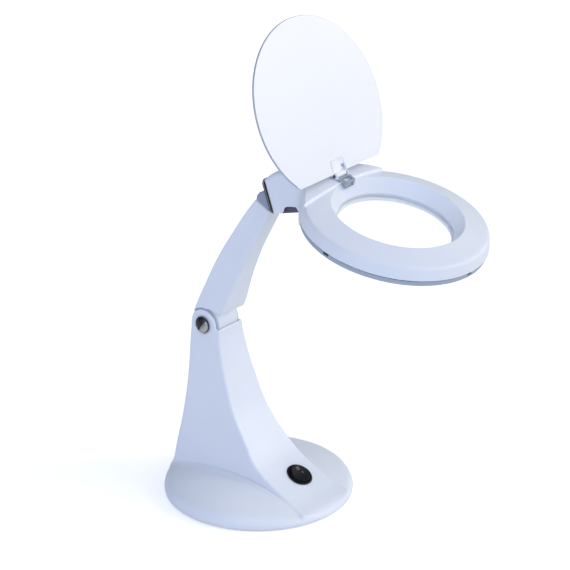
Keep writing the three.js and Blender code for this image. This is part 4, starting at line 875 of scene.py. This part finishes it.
for sgn, nm in ((-1, "friction_washer_left"), (1, "friction_washer_right")):
    a, b = sorted((sgn * 13.9, sgn * 14.7))
    me = lathe(nm + "_skin", fillet([(3.3, a), (15.5, a), (15.5, b), (3.3, b)], 0.2, 3), 128)
    transform(me, Matrix.Translation((0, 52.5 * MM, 162.6 * MM)) @ Matrix.Rotation(math.pi / 2, 4, "Y"))
    put(nm + "_skin", me, "base", PALE, nm, slot="grey_plastic")

# --------------------------------------------------------------------------
# rocker switch
# --------------------------------------------------------------------------
SWM = Matrix.Translation(Vector(SWC * MM)) @ Matrix.Rotation(SLOPE, 4, "X")
me = lathe("switch_bezel_skin", fillet([(10.3, -9), (10.9, -9), (10.9, 0.5), (12.8, 0.5), (12.75, 0.8), (12.1, 1.3), (11.0, 1.5), (10.3, 1.2)], [0.1, 0.1, 0.1, 0.15, 0.5, 0.4, 0.4, 0.3], 4), 160)
put("switch_bezel_skin", transform(me, SWM), "base", BLACK, "switch_bezel", slot="black_plastic")
def f_rock(P):
    x, y, z = P[:, 0], P[:, 1], P[:, 2]
    r = np.hypot(x, y)
    top_ = z - (2.3 + 1.5 * (y / 9.75) ** 2)
    d = smax(smax(r - 9.7, top_, 0.9), -4.2 - z, 0.3)
    return np.maximum(d, np.where(z < -1.2, np.abs(y) - 5.5, -9))
me = sdf_mesh("switch_rocker_skin", f_rock, (-9.8, -9.8, -4.3), (9.8, 9.8, 4.6), 0.3, passes=1)
ROCK = math.radians(8)
put("switch_rocker_skin", transform(me, SWM @ Matrix.Rotation(ROCK, 4, "X")), "switch_rocker", BLACK, "switch_rocker", slot="black_plastic")
# moulded marks, a ring and a bar, standing a hair above the rocker
MARK = plastic("switch_mark", (0.24, 0.245, 0.25), (0.30, 0.305, 0.31), rough=0.5)
bm = bmesh.new()
def strip(pts_in, pts_out):
    n = len(pts_in); vi, vo, ti, to = [], [], [], []
    for (a, b), (c, d_) in zip(pts_in, pts_out):
        zi = 2.3 + 1.5 * (b / 9.75) ** 2; zo = 2.3 + 1.5 * (d_ / 9.75) ** 2
        vi.append(bm.verts.new((a * MM, b * MM, (zi - 0.1) * MM))); vo.append(bm.verts.new((c * MM, d_ * MM, (zo - 0.1) * MM)))
        ti.append(bm.verts.new((a * MM, b * MM, (zi + 0.07) * MM))); to.append(bm.verts.new((c * MM, d_ * MM, (zo + 0.07) * MM)))
    for i in range(n):
        j = (i + 1) % n
        bm.faces.new((ti[i], ti[j], to[j], to[i])); bm.faces.new((vi[j], vi[i], vo[i], vo[j]))
        bm.faces.new((to[i], to[j], vo[j], vo[i])); bm.faces.new((ti[j], ti[i], vi[i], vi[j]))
cy = 5.6
c_in = [(1.5 + 1.15 * math.cos(t), cy + 1.15 * math.sin(t)) for t in np.linspace(0, 2 * math.pi, 33)[:-1]]
c_out = [(1.5 + 1.55 * math.cos(t), cy + 1.6 * math.sin(t)) for t in np.linspace(0, 2 * math.pi, 33)[:-1]]
strip(c_in, c_out)
def bar(x0, x1, y0, y1):
    vs = []
    for zoff in (-0.1, 0.07):
        for a, b in ((x0, y0), (x1, y0), (x1, y1), (x0, y1)):
            vs.append(bm.verts.new((a * MM, b * MM, (2.3 + 1.5 * (b / 9.75) ** 2 + zoff) * MM)))
    for q in ((0, 3, 2, 1), (4, 5, 6, 7), (0, 1, 5, 4), (1, 2, 6, 5), (2, 3, 7, 6), (3, 0, 4, 7)):
        bm.faces.new([vs[i] for i in q])
bar(3.4, 3.8, -0.8, 1.5)
bmesh.ops.recalc_face_normals(bm, faces=bm.faces)
me = bpy.data.meshes.new("switch_marks"); bm.to_mesh(me); bm.free()
put("switch_marks", transform(me, SWM @ Matrix.Rotation(ROCK, 4, "X")), "switch_rocker", MARK, slot="white_fittings")

# --------------------------------------------------------------------------
# small CAD pieces that stay as they are: finish and softened edges
# --------------------------------------------------------------------------
KEEP = {"base_bottom_cover": BLACKM, "base_weight": IRON, "anti_slip_pad": RUBBER, "switch_body": BLACKM, "cable_gland": BLACKM,
        "driver_board": BOARD, "driver_choke": IRON, "upper_pivot_pin": STEEL, "upper_washer_left": STEEL, "upper_washer_right": STEEL,
        "lamp_holder": WHITE, "tube_clip_1": WHITE, "tube_clip_2": WHITE, "tube_clip_3": WHITE,
        "bottom_screw_1": STEEL, "bottom_screw_2": STEEL, "bottom_screw_3": STEEL, "bottom_screw_4": STEEL,
        "head_screw_1": STEEL, "head_screw_2": STEEL, "head_screw_3": STEEL, "head_screw_4": STEEL}
for name, mat in KEEP.items():
    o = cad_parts[name]
    o.data.materials.clear(); o.data.materials.append(mat)
    bv = o.modifiers.new("soft_edges", "BEVEL"); bv.width = 0.25 * MM; bv.segments = 2; bv.limit_method = "ANGLE"
    bv.angle_limit = math.radians(40); bv.harden_normals = False
    for p in o.data.polygons:
        p.use_smooth = False

# --------------------------------------------------------------------------
# stage and light
# --------------------------------------------------------------------------
bm = bmesh.new()
bmesh.ops.create_grid(bm, x_segments=1, y_segments=1, size=6)
me = bpy.data.meshes.new("floor"); bm.to_mesh(me); bm.free()
floor = bpy.data.objects.new("floor", me); bpy.context.scene.collection.objects.link(floor)
floor.location.z = -0.0002
fm, nt, b = new_mat("floor_paper")
n1 = nt.nodes.new("ShaderNodeTexNoise"); n1.inputs["Scale"].default_value = 3
mx = nt.nodes.new("ShaderNodeMix"); mx.data_type = "RGBA"
mx.inputs["A"].default_value = (0.94, 0.94, 0.94, 1); mx.inputs["B"].default_value = (0.955, 0.955, 0.955, 1)
nt.links.new(n1.outputs["Fac"], mx.inputs["Factor"]); nt.links.new(mx.outputs["Result"], b.inputs["Base Color"])
b.inputs["Roughness"].default_value = 0.9
b.inputs["Specular IOR Level"].default_value = 0.1
b.inputs["Emission Color"].default_value = (1, 1, 1, 1)
lp = nt.nodes.new("ShaderNodeLightPath"); em = nt.nodes.new("ShaderNodeMath"); em.operation = "MULTIPLY"; em.inputs[1].default_value = 0.42
lm = nt.nodes.new("ShaderNodeMath"); lm.operation = "MAXIMUM"
nt.links.new(lp.outputs["Is Camera Ray"], lm.inputs[0]); nt.links.new(lp.outputs["Is Transmission Ray"], lm.inputs[1])
nt.links.new(lm.outputs["Value"], em.inputs[0]); nt.links.new(em.outputs["Value"], b.inputs["Emission Strength"])
me.materials.append(fm)

world = bpy.data.worlds.new("studio"); bpy.context.scene.world = world
world.use_nodes = True
bg = world.node_tree.nodes["Background"]
wn, wl = world.node_tree.nodes, world.node_tree.links
wc = wn.new("ShaderNodeTexCoord"); ws = wn.new("ShaderNodeSeparateXYZ"); wr = wn.new("ShaderNodeMapRange")
wr.inputs["From Min"].default_value = -1.0; wr.inputs["From Max"].default_value = 1.0
wr.inputs["To Min"].default_value = 0.64; wr.inputs["To Max"].default_value = 0.24
wl.new(wc.outputs["Generated"], ws.inputs["Vector"]); wl.new(ws.outputs["Y"], wr.inputs["Value"]); wl.new(wr.outputs["Result"], bg.inputs["Strength"])
bg.inputs["Color"].default_value = (0.90, 0.98, 1.13, 1)

def sun(name, direction, strength, angle, color=(1, 1, 1)):
    l = bpy.data.lights.new(name, "SUN"); l.energy = strength; l.angle = math.radians(angle); l.color = color
    o = bpy.data.objects.new(name, l); bpy.context.scene.collection.objects.link(o)
    o.rotation_euler = Vector(direction).to_track_quat("Z", "Y").to_euler()
    return o
sun("key", (0.47, -0.72, 0.52), 0.95, 35, (1.0, 0.97, 0.90))
sun("side", (0.90, -0.24, 0.38), 0.50, 30, (1.0, 0.98, 0.94))
sun("fill", (-0.91, -0.17, 0.18), 0.74, 56, (0.83, 0.99, 1.50))
sun("top", (-0.31, -0.26, 0.91), 0.22, 18, (1.0, 1.0, 1.0))

bpy.context.scene.view_settings.view_transform = "Standard"
bpy.context.scene.view_settings.look = "None"
bpy.context.scene.view_settings.exposure = 0.0
